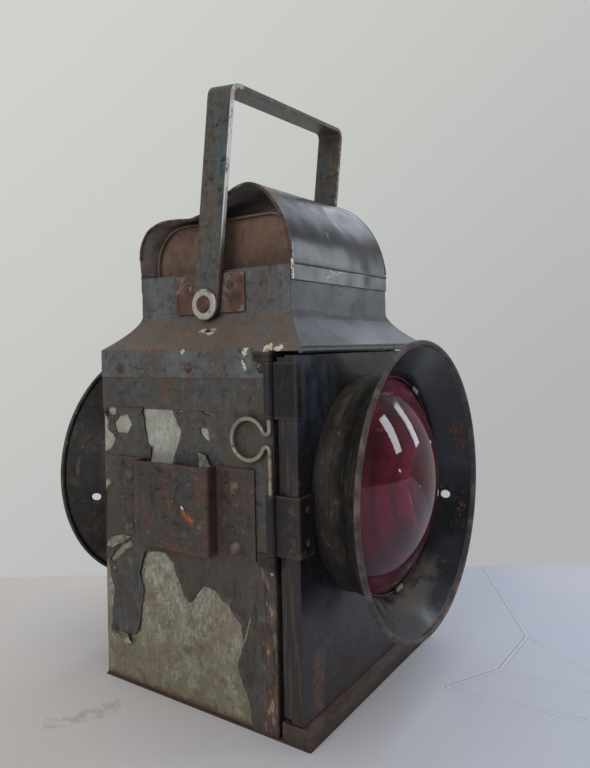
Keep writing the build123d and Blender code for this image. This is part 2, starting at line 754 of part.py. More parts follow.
def seat_ring(side):
    """Flat ring inside the collar that the back of the lens rests on."""
    with BuildPart() as ring:
        with BuildSketch(Plane.YZ):
            Polygon((side * seat_back, lens_z + seat_bore), (side * seat_back, lens_z + collar_outer - sheet),
                    (side * seat_front, lens_z + collar_outer - sheet), (side * seat_front, lens_z + seat_bore),
                    align=None)
        revolve(axis=lens_axis)
    return ring


def ring_place(side, angle, radius, depth):
    """Location on the lens axis face: +Z points out of the lamp, +X points away from the axis."""
    x = radius * math.cos(math.radians(angle))
    z = radius * math.sin(math.radians(angle))
    away = (math.cos(math.radians(angle)), 0, math.sin(math.radians(angle)))
    return Location(Plane(origin=(x, side * depth, lens_z + z), x_dir=away, z_dir=(0, side, 0)))


def lens_clips(side):
    """Three small tabs in front of the lens edge, standing in from the hood's sleeve."""
    with BuildPart() as clips:
        for angle in clip_angles:
            with Locations(ring_place(side, angle, clip_circle, clip_depth)):
                Box(3.2, 9, 1.2, align=(Align.CENTER, Align.CENTER, Align.MIN))
    return clips


def lens_screws(side):
    """The domed screw heads that hold the clips."""
    with BuildPart() as screws:
        for angle in clip_angles:
            with Locations(ring_place(side, angle, clip_circle, clip_depth + sheet)):
                add(dome_rivet(1.6, 1.0))
    return screws


clip_angles = (-88, 58, 165)
lens_sides = (("front", -1, front_sheet_face, -16), ("back", 1, back_sheet_face, -168))
for side_name, side, sheet_face, hole_angle in lens_sides:
    finish(lens_collar(side, sheet_face), f"{side_name}_collar")
    finish(lens_hood(side, hole_angle), f"{side_name}_hood")
    finish(bullseye_lens(side), f"{side_name}_lens")
    finish(seat_ring(side), f"{side_name}_lens_seat")
    finish(lens_clips(side), f"{side_name}_lens_clips")
    finish(lens_screws(side), f"{side_name}_lens_screws")

# Tank rails: two angles on the floor that keep the oil tank in the middle of the case
tank_x = 52.0
tank_y = 44.0
tank_bottom = sheet + 0.4
rail_near = tank_x + 0.5
rail_back = rail_near + sheet
rail_foot = tank_x + 12
rail_top = 12.0
with BuildPart() as tank_rails:
    for side in (-1, 1):
        with BuildSketch(Plane.XZ.offset(-tank_y)):
            outline([(side * rail_near, sheet), (side * rail_near, rail_top), (side * rail_back, rail_top),
                     (side * rail_back, 2 * sheet), (side * rail_foot, 2 * sheet), (side * rail_foot, sheet)])
        extrude(amount=2 * tank_y)
finish(tank_rails, "tank_rails")

# Oil tank: a hollow tinned box with a hole for the wick and one for filling
fill_x = -34.0
fill_y = -22.0
neck_bore = 8.0
wick_bore = 13.0
tank_wall = 1.0
with BuildPart() as oil_tank:
    with BuildSketch(Plane.XY.offset(tank_bottom)):
        RectangleRounded(2 * tank_x, 2 * tank_y, 9)
    extrude(amount=tank_top - tank_bottom)
    fillet(oil_tank.edges().group_by(Axis.Z)[-1], radius=3)
    with BuildSketch(Plane.XY.offset(tank_bottom + tank_wall)):
        RectangleRounded(2 * (tank_x - tank_wall), 2 * (tank_y - tank_wall), 8)
    extrude(amount=tank_top - tank_bottom - 2 * tank_wall, mode=Mode.SUBTRACT)
    with BuildSketch(Plane.XY.offset(tank_top + 1)):
        Circle(wick_bore)
        with Locations((fill_x, fill_y)):
            Circle(neck_bore)
    extrude(amount=-4, mode=Mode.SUBTRACT)
finish(oil_tank, "oil_tank")

with BuildPart() as filler_neck:
    with BuildSketch(Plane.XY.offset(tank_top)):
        with Locations((fill_x, fill_y)):
            Circle(neck_bore + 1)
            Circle(neck_bore, mode=Mode.SUBTRACT)
    extrude(amount=5)
finish(filler_neck, "filler_neck")

# Filler cap: a brass cap with a coined edge that turns on the neck
cap_outer = 11.0
cap_height = 7.0
cap_depth = 4.8
cap_bottom = tank_top + 0.6
with BuildPart() as filler_cap:
    with BuildSketch(Plane.XY.offset(cap_bottom)):
        with Locations((fill_x, fill_y)):
            Circle(cap_outer)
    extrude(amount=cap_height)
    with BuildSketch(Plane.XY.offset(cap_bottom)):
        with Locations((fill_x, fill_y)):
            Circle(neck_bore + 1 + running_gap)
    extrude(amount=cap_depth, mode=Mode.SUBTRACT)
    with BuildSketch(Plane.XY.offset(cap_bottom)):
        with Locations((fill_x, fill_y)):
            with PolarLocations(cap_outer + 0.35, 20):
                Circle(0.9)
    extrude(amount=cap_height, mode=Mode.SUBTRACT)
finish(filler_cap, "filler_cap")

# Burner body: a brass base on the tank and a drum that carries the wick tube and the spindle
tube_wall = 0.8
tube_gap = 0.3
tube_long = wick_width + 2 * tube_gap
tube_wide = wick_thick + 2 * tube_gap
spur_y = -(wick_thick / 2 + 0.15 + spur_radius)
shaft_radius = 1.5
burner_foot = 21.0
burner_outer = 19.0
burner_bore = 17.5
burner_top = 94.0
with BuildPart() as burner_body:
    with BuildSketch(Plane.XZ):
        outline([(wick_bore, tank_top), (burner_foot, tank_top), (burner_foot, 70), (burner_outer, 72),
                 (burner_outer, burner_top), (burner_bore, burner_top), (burner_bore, 73), (wick_bore, 70)])
    revolve(axis=Axis.Z)
    with BuildSketch(Plane.YZ.offset(-30)):
        with Locations((spur_y, spindle_z)):
            Circle(shaft_radius + running_gap)
    extrude(amount=60, mode=Mode.SUBTRACT)
finish(burner_body, "burner_body")

# Wick tube: flat tube through a round plate, with a window where the spurs reach the wick
tube_bottom = 77.0
with BuildPart() as wick_tube:
    with BuildSketch(Plane.XY.offset(tube_bottom)):
        Rectangle(tube_long + 2 * tube_wall, tube_wide + 2 * tube_wall)
        Rectangle(tube_long, tube_wide, mode=Mode.SUBTRACT)
    extrude(amount=flame_z - 4 - tube_bottom)
    with BuildSketch(Plane.XY.offset(tube_bottom)):
        Circle(burner_bore - 0.05)
        Rectangle(tube_long, tube_wide, mode=Mode.SUBTRACT)
    extrude(amount=1)
    with BuildSketch(Plane.XZ.offset(tube_wide / 2 - 0.01)):
        with Locations((0, spindle_z)):
            Rectangle(16, 2 * spur_radius + 3)
    extrude(amount=tube_wall + 0.1, mode=Mode.SUBTRACT)
finish(wick_tube, "wick_tube")

wick_bottom = 52.0
with BuildPart() as wick:
    with BuildSketch(Plane.XY.offset(wick_bottom)):
        Rectangle(wick_width, wick_thick)
    extrude(amount=flame_z - wick_bottom)
finish(wick, "wick")

# Wick spindle: a shaft with two spur wheels that grip the wick's front face
shaft_start = -22.0
shaft_end = 40.0
with BuildPart() as wick_spindle:
    with BuildSketch(Plane.YZ.offset(shaft_start)):
        with Locations((spur_y, spindle_z)):
            Circle(shaft_radius)
    extrude(amount=shaft_end - shaft_start)
    for wheel_x in (-6, 3.5):
        with BuildSketch(Plane.YZ.offset(wheel_x)):
            with Locations((spur_y, spindle_z)):
                Circle(spur_radius - 0.7)
                with PolarLocations(spur_radius - 1.2, 12):
                    RegularPolygon(1.1, 3)
        extrude(amount=2.5)
finish(wick_spindle, "wick_spindle")

# Wick knob: a milled disc on the outer end of the spindle
knob_radius = 8.5
knob_thick = 4.0
with BuildPart() as wick_knob:
    with BuildSketch(Plane.YZ.offset(shaft_end - knob_thick)):
        with Locations((spur_y, spindle_z)):
            Circle(knob_radius)
            Circle(shaft_radius, mode=Mode.SUBTRACT)
            with PolarLocations(knob_radius + 0.4, 24):
                Circle(0.8, mode=Mode.SUBTRACT)
    extrude(amount=knob_thick)
finish(wick_knob, "wick_knob")

# Air plate: a drilled ring round the burner drum
air_plate_outer = 25.0
air_plate_bore = 14.5
air_plate_circle = 22.0
air_plate_hole = 1.6
with BuildPart() as air_plate:
    with BuildSketch(Plane.XY.offset(burner_top)):
        Circle(air_plate_outer)
        Circle(air_plate_bore, mode=Mode.SUBTRACT)
        with PolarLocations(air_plate_circle, 16):
            Circle(air_plate_hole, mode=Mode.SUBTRACT)
    extrude(amount=1)
finish(air_plate, "air_plate")

# Burner cone: a pierced brass dome with a slot over the wick
cone_outside = ((20, 95), (20, 104), (15.5, 119), (0, 122))
cone_inside = ((0, 121), (14.7, 118.2), (19, 103.8), (19, 95))
flame_slot_wide = 9.0
flame_slot_bottom = 113.0
with BuildPart() as burner_cone:
    with BuildSketch(Plane.XZ):
        outline([*cone_outside, *cone_inside])
    revolve(axis=Axis.Z)
    with BuildSketch(Plane.XY.offset(flame_slot_bottom)):
        Rectangle(tube_long + 4, flame_slot_wide)
    extrude(amount=12, mode=Mode.SUBTRACT)
    with BuildSketch(Plane.XZ.offset(-25)):
        with Locations((0, 99)):
            with GridLocations(7, 1, 3, 1):
                Circle(1.5)
    extrude(amount=50, mode=Mode.SUBTRACT)
finish(burner_cone, "burner_cone")
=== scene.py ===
# %% [markdown]
# # A railway signal lamp, dressed for its picture
# The lamp is an old oil lamp of sheet steel: a square case, a vented roof with an arched
# canopy, a strap bail, and a deep hood with a red bullseye glass on the door. The working
# parts are already made at real size and are loaded here as a fixed frame. This lesson gives
# each part its finish and adds the thin things that only show up close, such as peeling paint.

# %% Load the frame
import math
import random

import bmesh
import bpy
import numpy as np
from mathutils import Matrix, Vector, noise
from mathutils.geometry import delaunay_2d_cdt


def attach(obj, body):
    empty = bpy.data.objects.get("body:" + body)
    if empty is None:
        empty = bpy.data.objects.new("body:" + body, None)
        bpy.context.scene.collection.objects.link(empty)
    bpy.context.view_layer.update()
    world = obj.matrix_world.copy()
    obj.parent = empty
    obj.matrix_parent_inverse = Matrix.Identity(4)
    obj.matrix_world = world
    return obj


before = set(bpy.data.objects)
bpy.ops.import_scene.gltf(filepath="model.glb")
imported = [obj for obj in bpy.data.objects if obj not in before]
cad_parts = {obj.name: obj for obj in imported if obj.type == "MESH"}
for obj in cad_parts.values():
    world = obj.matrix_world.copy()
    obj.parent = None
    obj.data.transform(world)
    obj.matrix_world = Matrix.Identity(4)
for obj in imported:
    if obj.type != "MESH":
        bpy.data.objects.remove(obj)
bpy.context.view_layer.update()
print("nodes loaded:", len(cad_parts))

# %% [markdown]
# ## The camera
# The picture was taken from the lamp's left front corner, a little above the middle, with a
# short lens. The place and the angles below were solved from the corners of the square case.
# A camera looks along its own -Z, so its three axes are written as the columns of a matrix.

# %% Camera
picture_width = 590
picture_height = 768
camera_place = Vector((-0.4092, -0.3016, 0.2393))
heading = math.radians(-56.21)
rise = math.radians(1.25)
roll = math.radians(-1.32)
focal_pixels = 642.8
optical_centre = (298.3, 332.9)

forward = Vector((-math.sin(heading) * math.cos(rise), math.cos(heading) * math.cos(rise), math.sin(rise)))
level_right = Vector((math.cos(heading), math.sin(heading), 0))
level_up = level_right.cross(forward)
camera_right = level_right * math.cos(roll) + level_up * math.sin(roll)
camera_up = level_up * math.cos(roll) - level_right * math.sin(roll)

camera_data = bpy.data.cameras.new("picture_camera")
camera = bpy.data.objects.new("picture_camera", camera_data)
bpy.context.scene.collection.objects.link(camera)
turn = Matrix((camera_right, camera_up, -forward)).transposed()
camera.matrix_world = Matrix.Translation(camera_place) @ turn.to_4x4()
camera_data.sensor_width = 36
camera_data.lens = focal_pixels / picture_height * camera_data.sensor_width
camera_data.shift_x = (picture_width / 2 - optical_centre[0]) / picture_height
camera_data.shift_y = (optical_centre[1] - picture_height / 2) / picture_height
camera_data.clip_start = 0.01
bpy.context.scene.camera = camera
print("lens", round(camera_data.lens, 2), "mm")

# %% [markdown]
# ## Colours and finishes
# Each finish is a small tree of nodes. Writing such trees by hand is long, so this class adds
# one node per call and hands back the socket that carries the result. Every pattern reads the
# object's own coordinates, which are metres in the lamp's frame, so sizes are real sizes and
# the pattern stays on the metal when the door or the bail moves.

# %% A helper that builds a finish
mm = 0.001


def colour(red, green, blue):
    """A colour mixed on a 0 to 255 scale, as the linear numbers that Blender works in."""
    parts = []
    for part in (red / 255, green / 255, blue / 255):
        parts.append(part / 12.92 if part <= 0.04045 else ((part + 0.055) / 1.055) ** 2.4)
    return (*parts, 1.0)


class Tree:
    """A node tree that grows by one node per call."""

    def __init__(self, owner, place):
        owner.use_nodes = True
        tree = owner.node_tree
        tree.nodes.clear()
        self.nodes = tree.nodes
        self.links = tree.links
        coordinates = self.nodes.new("ShaderNodeTexCoord")
        self.place = coordinates.outputs[place]
        self.face = coordinates.outputs["Normal"]

    def feed(self, socket, value):
        """Give a socket a number or colour, or link another socket to it."""
        if isinstance(value, bpy.types.NodeSocket):
            self.links.new(value, socket)
        else:
            socket.default_value = value

    def calc(self, operation, first, second=0.0, clamp=False):
        node = self.nodes.new("ShaderNodeMath")
        node.operation = operation
        node.use_clamp = clamp
        self.feed(node.inputs[0], first)
        self.feed(node.inputs[1], second)
        return node.outputs[0]

    def vector(self, operation, first, second, output="Vector"):
        node = self.nodes.new("ShaderNodeVectorMath")
        node.operation = operation
        self.feed(node.inputs[0], first)
        self.feed(node.inputs["Scale" if operation == "SCALE" else 1], second)
        return node.outputs[output]

    def times(self, *values):
        """Product of masks and numbers."""
        result = values[0]
        for value in values[1:]:
            result = self.calc("MULTIPLY", result, value)
        return result

    def either(self, first, second):
        return self.calc("MAXIMUM", first, second)

    def without(self, mask):
        return self.calc("SUBTRACT", 1.0, mask)

    def between(self, value, low, high):
        """0 up to low, 1 from high, and smooth in between. Low may be above high."""
        node = self.nodes.new("ShaderNodeMapRange")
        node.interpolation_type = "SMOOTHSTEP"
        self.feed(node.inputs["Value"], value)
        node.inputs["From Min"].default_value = low
        node.inputs["From Max"].default_value = high
        return node.outputs["Result"]

    def blend(self, below, above, amount):
        """The colour above laid over the colour below by the amount."""
        node = self.nodes.new("ShaderNodeMix")
        node.data_type = "RGBA"
        self.feed(node.inputs[0], amount)
        self.feed(node.inputs[6], below)
        self.feed(node.inputs[7], above)
        return node.outputs[2]

    def level(self, below, above, amount):
        """The same as blend, for plain numbers such as roughness."""
        node = self.nodes.new("ShaderNodeMix")
        node.data_type = "FLOAT"
        self.feed(node.inputs[0], amount)
        self.feed(node.inputs[2], below)
        self.feed(node.inputs[3], above)
        return node.outputs[0]

    def stretched(self, stretch, tilt=0.0):
        """The place on the object, squeezed along some axes and turned about X."""
        node = self.nodes.new("ShaderNodeMapping")
        node.inputs["Scale"].default_value = stretch
        node.inputs["Rotation"].default_value = (tilt, 0, tilt * 0.6)
        self.links.new(self.place, node.inputs["Vector"])
        return node.outputs[0]

    def noise(self, size, detail=3.0, rough=0.55, warp=0.0, stretch=None, tilt=0.0, seed=0.0):
        """Cloudy pattern whose features are about this many millimetres wide."""
        node = self.nodes.new("ShaderNodeTexNoise")
        node.noise_dimensions = "4D"
        node.inputs["Scale"].default_value = 1 / (size * mm)
        node.inputs["Detail"].default_value = detail
        node.inputs["Roughness"].default_value = rough
        node.inputs["Distortion"].default_value = warp
        node.inputs["W"].default_value = seed
        self.links.new(self.stretched(stretch, tilt) if stretch else self.place, node.inputs["Vector"])
        return node.outputs[0]

    def cells(self, size, feature="F1", stretch=None, seed=0.0):
        """Distance pattern of scattered points, about this many millimetres apart."""
        node = self.nodes.new("ShaderNodeTexVoronoi")
        node.voronoi_dimensions = "4D"
        node.feature = feature
        node.inputs["Scale"].default_value = 1 / (size * mm)
        node.inputs["W"].default_value = seed
        self.links.new(self.stretched(stretch) if stretch else self.place, node.inputs["Vector"])
        return node.outputs["Distance"]

    def hairlines(self, size, width=0.004, stretch=(1, 1, 1), tilt=0.0, seed=0.0):
        """Thin wandering lines, as scratches and cracks run: the middle contour of a noise."""
        cloud = self.noise(size, detail=1.5, rough=0.4, warp=0.3, stretch=stretch, tilt=tilt, seed=seed)
        away = self.calc("ABSOLUTE", self.calc("SUBTRACT", cloud, 0.5))
        return self.between(away, width, width * 0.35)

    def axis(self, index, source=None):
        """One coordinate of the place, or of the face's direction."""
        node = self.nodes.new("ShaderNodeSeparateXYZ")
        self.links.new(source or self.place, node.inputs[0])
        return node.outputs[index]


class Finish(Tree):
    """One material under construction."""

    def __init__(self, name):
        self.material = bpy.data.materials.new(name)
        super().__init__(self.material, "Object")
        output = self.nodes.new("ShaderNodeOutputMaterial")
        self.shader = self.nodes.new("ShaderNodeBsdfPrincipled")
        self.links.new(self.shader.outputs[0], output.inputs[0])
        self.relief = None

    def edges(self, radius, cover=0.5, size=4.0, seed=0.0):
        """Worn edges of uneven width, up to this radius. Cover runs from 0 to 1."""
        rounded = self.nodes.new("ShaderNodeBevel")
        rounded.samples = 4
        rounded.inputs["Radius"].default_value = radius * mm
        true_face = self.nodes.new("ShaderNodeNewGeometry")
        turned = self.without(self.vector("DOT_PRODUCT", rounded.outputs[0], true_face.outputs["Normal"], "Value"))
        turned = self.calc("SQRT", self.either(turned, 0.0))
        uneven = self.noise(size, detail=7, rough=0.75, seed=seed + 60)
        amount = self.calc("ADD", self.times(turned, 1.3), uneven)
        return self.between(amount, 1.10 - 0.4 * cover, 1.22 - 0.4 * cover)

    def dirt_and_shade_in_corners(self, reach):
        """1 in corners and close beside other parts, where dirt gathers and shade falls: what is laid on it is dirt and
        painted shade.
        """
        node = self.nodes.new("ShaderNodeAmbientOcclusion")
        node.samples = 4
        node.inputs["Distance"].default_value = reach * mm
        return self.between(node.outputs["AO"], 0.85, 0.30)

    def stroke(self, start, end, width, ragged=1.0, seed=0.0):
        """A scrape between two places, all in millimetres, with ragged sides."""
        first = Vector(start) * mm
        run = Vector(end) * mm - first
        offset = self.vector("SUBTRACT", self.place, first)
        along = self.vector("DOT_PRODUCT", offset, run, "Value")
        along = self.calc("MULTIPLY", along, 1 / run.length_squared, clamp=True)
        away = self.vector("LENGTH", self.vector("SUBTRACT", offset, self.vector("SCALE", run, along)), (0, 0, 0), "Value")
        shake = self.calc("SUBTRACT", self.noise(width * 0.9, detail=4, rough=0.65, seed=seed + 50), 0.5)
        away = self.calc("ADD", away, self.times(shake, width * mm * 1.5 * ragged))
        return self.between(away, width * mm * 0.55, width * mm * 0.35)

    def soften(self, radius):
        """Round the sharp edges of a part a little, as real sheet metal has them."""
        rounded = self.nodes.new("ShaderNodeBevel")
        rounded.samples = 4
        rounded.inputs["Radius"].default_value = radius * mm
        self.relief = rounded.outputs[0]

    def bump(self, height, depth):
        """Add relief of this many millimetres over the relief made before."""
        node = self.nodes.new("ShaderNodeBump")
        node.inputs["Distance"].default_value = depth * mm
        self.links.new(height, node.inputs["Height"])
        if self.relief is not None:
            self.links.new(self.relief, node.inputs["Normal"])
        self.relief = node.outputs[0]

    def done(self, base, rough, metal=0.0, **fixed):
        """Connect the results to the shader. Fixed values go on its own sockets."""
        self.feed(self.shader.inputs["Base Color"], base)
        self.feed(self.shader.inputs["Roughness"], rough)
        self.feed(self.shader.inputs["Metallic"], metal)
        for name, value in fixed.items():
            self.shader.inputs[name.replace("_", " ")].default_value = value
        if self.relief is not None:
            self.links.new(self.relief, self.shader.inputs["Normal"])
        return self.material


# %% [markdown]
# ## Old paint on steel
# The whole lamp wears the same history: black paint, brushed on more than once, gone brown or
# slate with age, rubbed to bare steel on its edges, freckled with rust, and dusty where dust
# can lie. One function makes all of these with different strengths, so the parts look related.
# Each layer is a mask between 0 and 1, laid over what is below it.

# %% Aged paint
rust_dark = colour(62, 44, 37)
rust_warm = colour(116, 74, 54)
dust_tan = colour(126, 114, 98)


def rust_mix(finish, seed=0.0):
    """Rust in two tones, mottled at a scale of a few millimetres."""
    mottle = finish.between(finish.noise(3.2, detail=6, rough=0.7, seed=seed + 3), 0.36, 0.64)
    return finish.blend(rust_dark, rust_warm, mottle)


def aged_paint(name, paint, faded, *, grain=(1, 1, 0.3), streak=0.25, rust=0.3, rust_size=6.0, edge=0.5,
               edge_radius=1.8, edge_colour=None, scratches=0.3, dust=0.3, gloss=0.45, wave=0.25,
               brush_relief=0.03, fade=(0.36, 0.66), mottle=0.7, sheen=0.16, marks=None, seed=0.0, specular=0.4):
    """Black paint with age on it. Shares run from 0 to 1, and sizes are millimetres."""
    f = Finish(name)
    f.soften(0.9)
    base = f.blend(paint, faded, f.between(f.noise(30, detail=6, rough=0.62, stretch=grain, seed=seed), *fade))
    brush = f.noise(2.6, detail=5, rough=0.7, stretch=tuple(0.14 if g < 1 else 1 for g in grain), seed=seed + 1)
    base = f.blend(base, colour(18, 17, 19), f.times(f.between(brush, 0.50, 0.74), streak))
    base = f.blend(base, colour(142, 136, 128), f.times(f.between(brush, 0.46, 0.26), streak * 0.45))
    patches = f.noise(7, detail=10, rough=0.8, warp=0.5, seed=seed + 12)
    base = f.blend(base, colour(12, 12, 14), f.times(f.between(patches, 0.51, 0.60), mottle * 0.75))
    base = f.blend(base, colour(134, 126, 114), f.times(f.between(patches, 0.45, 0.35), mottle * 0.5))
    soiled = f.noise(17, detail=8, rough=0.74, seed=seed + 13)
    base = f.blend(base, colour(84, 64, 52), f.times(f.between(soiled, 0.51, 0.62), mottle * 0.5))
    speckle = f.noise(1.3, detail=5, rough=0.75, seed=seed + 2)
    base = f.blend(base, colour(166, 156, 142), f.times(f.between(speckle, 0.60, 0.68), mottle * 0.6))
    base = f.blend(base, colour(14, 12, 12), f.times(f.between(speckle, 0.40, 0.33), mottle * 0.7))
    flecks = f.between(f.noise(3.2, detail=3, rough=0.6, seed=seed + 14), 0.715, 0.735)
    base = f.blend(base, colour(192, 186, 174), f.times(flecks, mottle))
    clouds = f.noise(rust_size * 5, detail=2, rough=0.5, seed=seed + 4)
    grit = f.noise(rust_size, detail=8, rough=0.72, seed=seed + 5)
    rust_at = f.between(f.calc("ADD", grit, f.times(clouds, 0.6)), 1.06 - rust * 0.36, 1.16 - rust * 0.36)
    rubbed = f.edges(edge_radius, edge, seed=seed)
    rusty = rust_mix(f, seed)
    base = f.blend(base, rusty, f.times(rust_at, 0.8))
    base = f.blend(base, edge_colour or rusty, f.times(rubbed, 0.85))
    lines = f.either(f.hairlines(26, 0.0030, (1.6, 1.6, 0.22), 0.25, seed + 7),
                     f.hairlines(19, 0.0026, (0.3, 0.3, 1.5), -0.3, seed + 8))
    marked = f.times(lines, f.between(f.noise(22, detail=2, seed=seed + 9), 0.70 - 0.3 * scratches, 0.8 - 0.3 * scratches))
    base = f.blend(base, colour(150, 146, 142), f.times(marked, min(1.0, 0.3 + scratches)))
    # Near-black in corners and close beside other parts: dirt, and painted shade.
    base = f.blend(base, colour(20, 17, 16), f.times(f.dirt_and_shade_in_corners(14.0), 0.8))
    up = f.between(f.axis(2, f.face), 0.25, 0.95)
    dusty = f.times(up, f.between(f.noise(14, detail=5, rough=0.6, seed=seed + 10), 0.3, 0.75), dust)
    base = f.blend(base, dust_tan, dusty)
    rough = f.level(gloss - 0.25 * sheen, gloss + 0.75 * sheen, f.between(brush, 0.3, 0.7))
    rough = f.level(rough, 0.86, f.either(f.times(rust_at, 0.9), f.either(f.times(rubbed, 0.6), dusty)))
    if marks:
        base, rough = marks(f, base, rough)
    f.bump(f.noise(46, detail=1.5, rough=0.4, seed=seed + 11), wave * 2.2)
    f.bump(brush, brush_relief)
    f.bump(patches, 0.25 * mottle)
    f.bump(speckle, 0.05 * mottle)
    f.bump(grit, 0.02 + 0.12 * rust)
    f.bump(rust_at, 0.10)
    return f.done(base, rough, 0.0, Specular_IOR_Level=specular)


# %% [markdown]
# ## Plain metals
# Where the paint is gone the metal shows: pale zinc on the case walls, brown rust on the bail
# plates and the rivets, and cold grey wire. Zinc is cloudy and stained rather than shiny, so
# only part of it is metallic to the shader.

# %% Zinc, rusty steel, wire, brass, tin and cotton
def stained_zinc(name):
    """Galvanised sheet: pale grey-green patina, stained brown near the foot of the wall."""
    f = Finish(name)
    f.soften(0.8)
    cloudy = f.noise(11, detail=11, rough=0.8, warp=0.6, seed=1.0)
    base = f.blend(colour(122, 117, 102), colour(166, 168, 154), f.between(cloudy, 0.40, 0.62))
    crumbs = f.noise(1.7, detail=6, rough=0.8, seed=13.0)
    base = f.blend(base, colour(66, 60, 50), f.times(f.between(crumbs, 0.53, 0.60), 0.6))
    base = f.blend(base, colour(210, 214, 206), f.times(f.between(crumbs, 0.43, 0.35), 0.55))
    tint = f.between(f.noise(34, detail=5, rough=0.6, seed=11.0), 0.46, 0.60)
    base = f.blend(base, colour(124, 112, 94), f.times(tint, 0.75))
    fibre = f.noise(1.8, detail=7, rough=0.75, stretch=(1, 1, 0.4), tilt=0.45, seed=2.0)
    base = f.blend(base, colour(76, 68, 54), f.times(f.between(fibre, 0.52, 0.60), 0.6))
    base = f.blend(base, colour(208, 213, 204), f.times(f.between(fibre, 0.44, 0.34), 0.65))
    high = f.between(f.axis(2), 140 * mm, 175 * mm)
    base = f.blend(base, colour(196, 202, 198), f.times(high, 0.32))
    low = f.between(f.axis(2), 92 * mm, 4 * mm)
    stain = f.between(f.noise(16, detail=7, rough=0.7, seed=3.0), 0.30, 0.60)
    base = f.blend(base, colour(106, 99, 72), f.times(low, stain, 0.8))
    brown = f.between(f.noise(15, detail=9, rough=0.74, seed=5.0), 0.53, 0.64)
    base = f.blend(base, colour(92, 78, 58), f.times(brown, f.between(f.axis(2), 170 * mm, 30 * mm), 0.6))
    foot_rust = f.between(f.calc("ADD", f.axis(2), f.times(f.noise(6, detail=6, rough=0.7, seed=12.0), 10 * mm)), 11 * mm, 7 * mm)
    base = f.blend(base, colour(82, 58, 44), f.times(foot_rust, 0.8))
    pits = f.between(f.cells(5, seed=2.0), 0.13, 0.05)
    base = f.blend(base, colour(56, 46, 36), f.times(pits, f.between(f.noise(24, seed=6.0), 0.48, 0.56), 0.9))
    rub = f.edges(1.6, 0.5, seed=8.0)
    base = f.blend(base, colour(86, 62, 48), rub)
    # Dark colour in corners and close beside other parts: dirt, and painted shade.
    base = f.blend(base, colour(44, 38, 30), f.times(f.dirt_and_shade_in_corners(5.0), 0.8))
    inside = f.times(f.between(f.calc("ABSOLUTE", f.axis(0)), 88.5 * mm, 88.2 * mm),
                     f.between(f.axis(1), 88.5 * mm, 88.2 * mm))
    soot = f.blend(colour(40, 37, 34), colour(88, 82, 74), f.between(cloudy, 0.4, 0.75))
    base = f.blend(base, soot, f.times(inside, 0.9))
    rough = f.level(0.45, 0.75, f.between(cloudy, 0.35, 0.7))
    f.bump(f.noise(40, detail=1, seed=9.0), 0.5)
    f.bump(fibre, 0.08)
    f.bump(pits, -0.15)
    return f.done(base, rough, 0.2)


def rusty_metal(name, dark, warm, pale, shine=0.25, size=4.0, seed=0.0, pale_share=0.4, dull=0.85):
    """Steel under old rust, with some pale metal or paint left on it."""
    f = Finish(name)
    f.soften(0.6)
    cloudy = f.noise(size * 2.2, detail=7, rough=0.7, seed=seed)
    base = f.blend(dark, warm, f.between(cloudy, 0.4, 0.62))
    crust = f.noise(size * 0.5, detail=5, rough=0.75, seed=seed + 1)
    base = f.blend(base, colour(38, 28, 24), f.times(f.between(crust, 0.52, 0.7), 0.6))
    left = f.between(f.noise(size * 3, detail=6, rough=0.66, seed=seed + 2), 0.66 - 0.3 * pale_share, 0.76 - 0.3 * pale_share)
    base = f.blend(base, pale, f.times(left, 0.8))
    base = f.blend(base, colour(134, 116, 102), f.times(f.edges(1.0, 0.35, seed=seed), 0.7))
    # Dark rings in corners and round the rivets: dirt, and painted shade.
    base = f.blend(base, colour(26, 20, 17), f.times(f.dirt_and_shade_in_corners(4.0), 0.7))
    base = f.blend(base, colour(116, 112, 98), f.times(f.between(f.axis(2), 10.5 * mm, 9.5 * mm), 0.8))
    rough = f.level(dull, 0.6 * dull, left)
    metal = f.times(left, shine)
    f.bump(cloudy, 0.25)
    f.bump(crust, 0.12)
    return f.done(base, rough, metal)


def drawn_wire(name):
    """Grey steel wire with brown stains."""
    f = Finish(name)
    stain = f.noise(7, detail=6, rough=0.65, seed=4.0)
    base = f.blend(colour(158, 148, 134), colour(98, 80, 64), f.between(stain, 0.48, 0.68))
    fine = f.noise(0.8, detail=4, stretch=(1, 1, 0.3), seed=5.0)
    base = f.blend(base, colour(60, 52, 46), f.times(f.between(fine, 0.55, 0.7), 0.5))
    f.bump(fine, 0.04)
    return f.done(base, f.level(0.38, 0.7, f.between(stain, 0.4, 0.65)), 0.55)


def dull_brass(name):
    f = Finish(name)
    f.soften(0.4)
    tarnish = f.noise(8, detail=6, rough=0.65, seed=6.0)
    base = f.blend(colour(176, 140, 78), colour(98, 74, 44), f.between(tarnish, 0.4, 0.66))
    spots = f.between(f.noise(2, detail=5, rough=0.7, seed=7.0), 0.58, 0.7)
    base = f.blend(base, colour(58, 48, 34), f.times(spots, 0.7))
    f.bump(tarnish, 0.06)
    return f.done(base, f.level(0.3, 0.6, f.between(tarnish, 0.4, 0.65)), 0.85)


def tinned_sheet(name):
    f = Finish(name)
    f.soften(0.6)
    bloom = f.noise(16, detail=6, rough=0.6, seed=8.0)
    base = f.blend(colour(142, 138, 130), colour(92, 84, 74), f.between(bloom, 0.4, 0.65))
    spots = f.between(f.noise(4, detail=7, rough=0.7, seed=9.0), 0.56, 0.66)
    base = f.blend(base, colour(86, 58, 40), f.times(spots, 0.75))
    f.bump(bloom, 0.08)
    return f.done(base, f.level(0.35, 0.65, f.between(bloom, 0.38, 0.66)), 0.6)


def woven_cotton(name):
    f = Finish(name)
    weave = f.noise(0.7, detail=3, stretch=(1, 1, 0.5), seed=2.0)
    base = f.blend(colour(206, 196, 170), colour(150, 136, 108), f.between(weave, 0.4, 0.6))
    charred = f.between(f.axis(2), 106 * mm, 114 * mm)
    base = f.blend(base, colour(26, 22, 20), charred)
    f.bump(weave, 0.15)
    return f.done(base, 0.9)


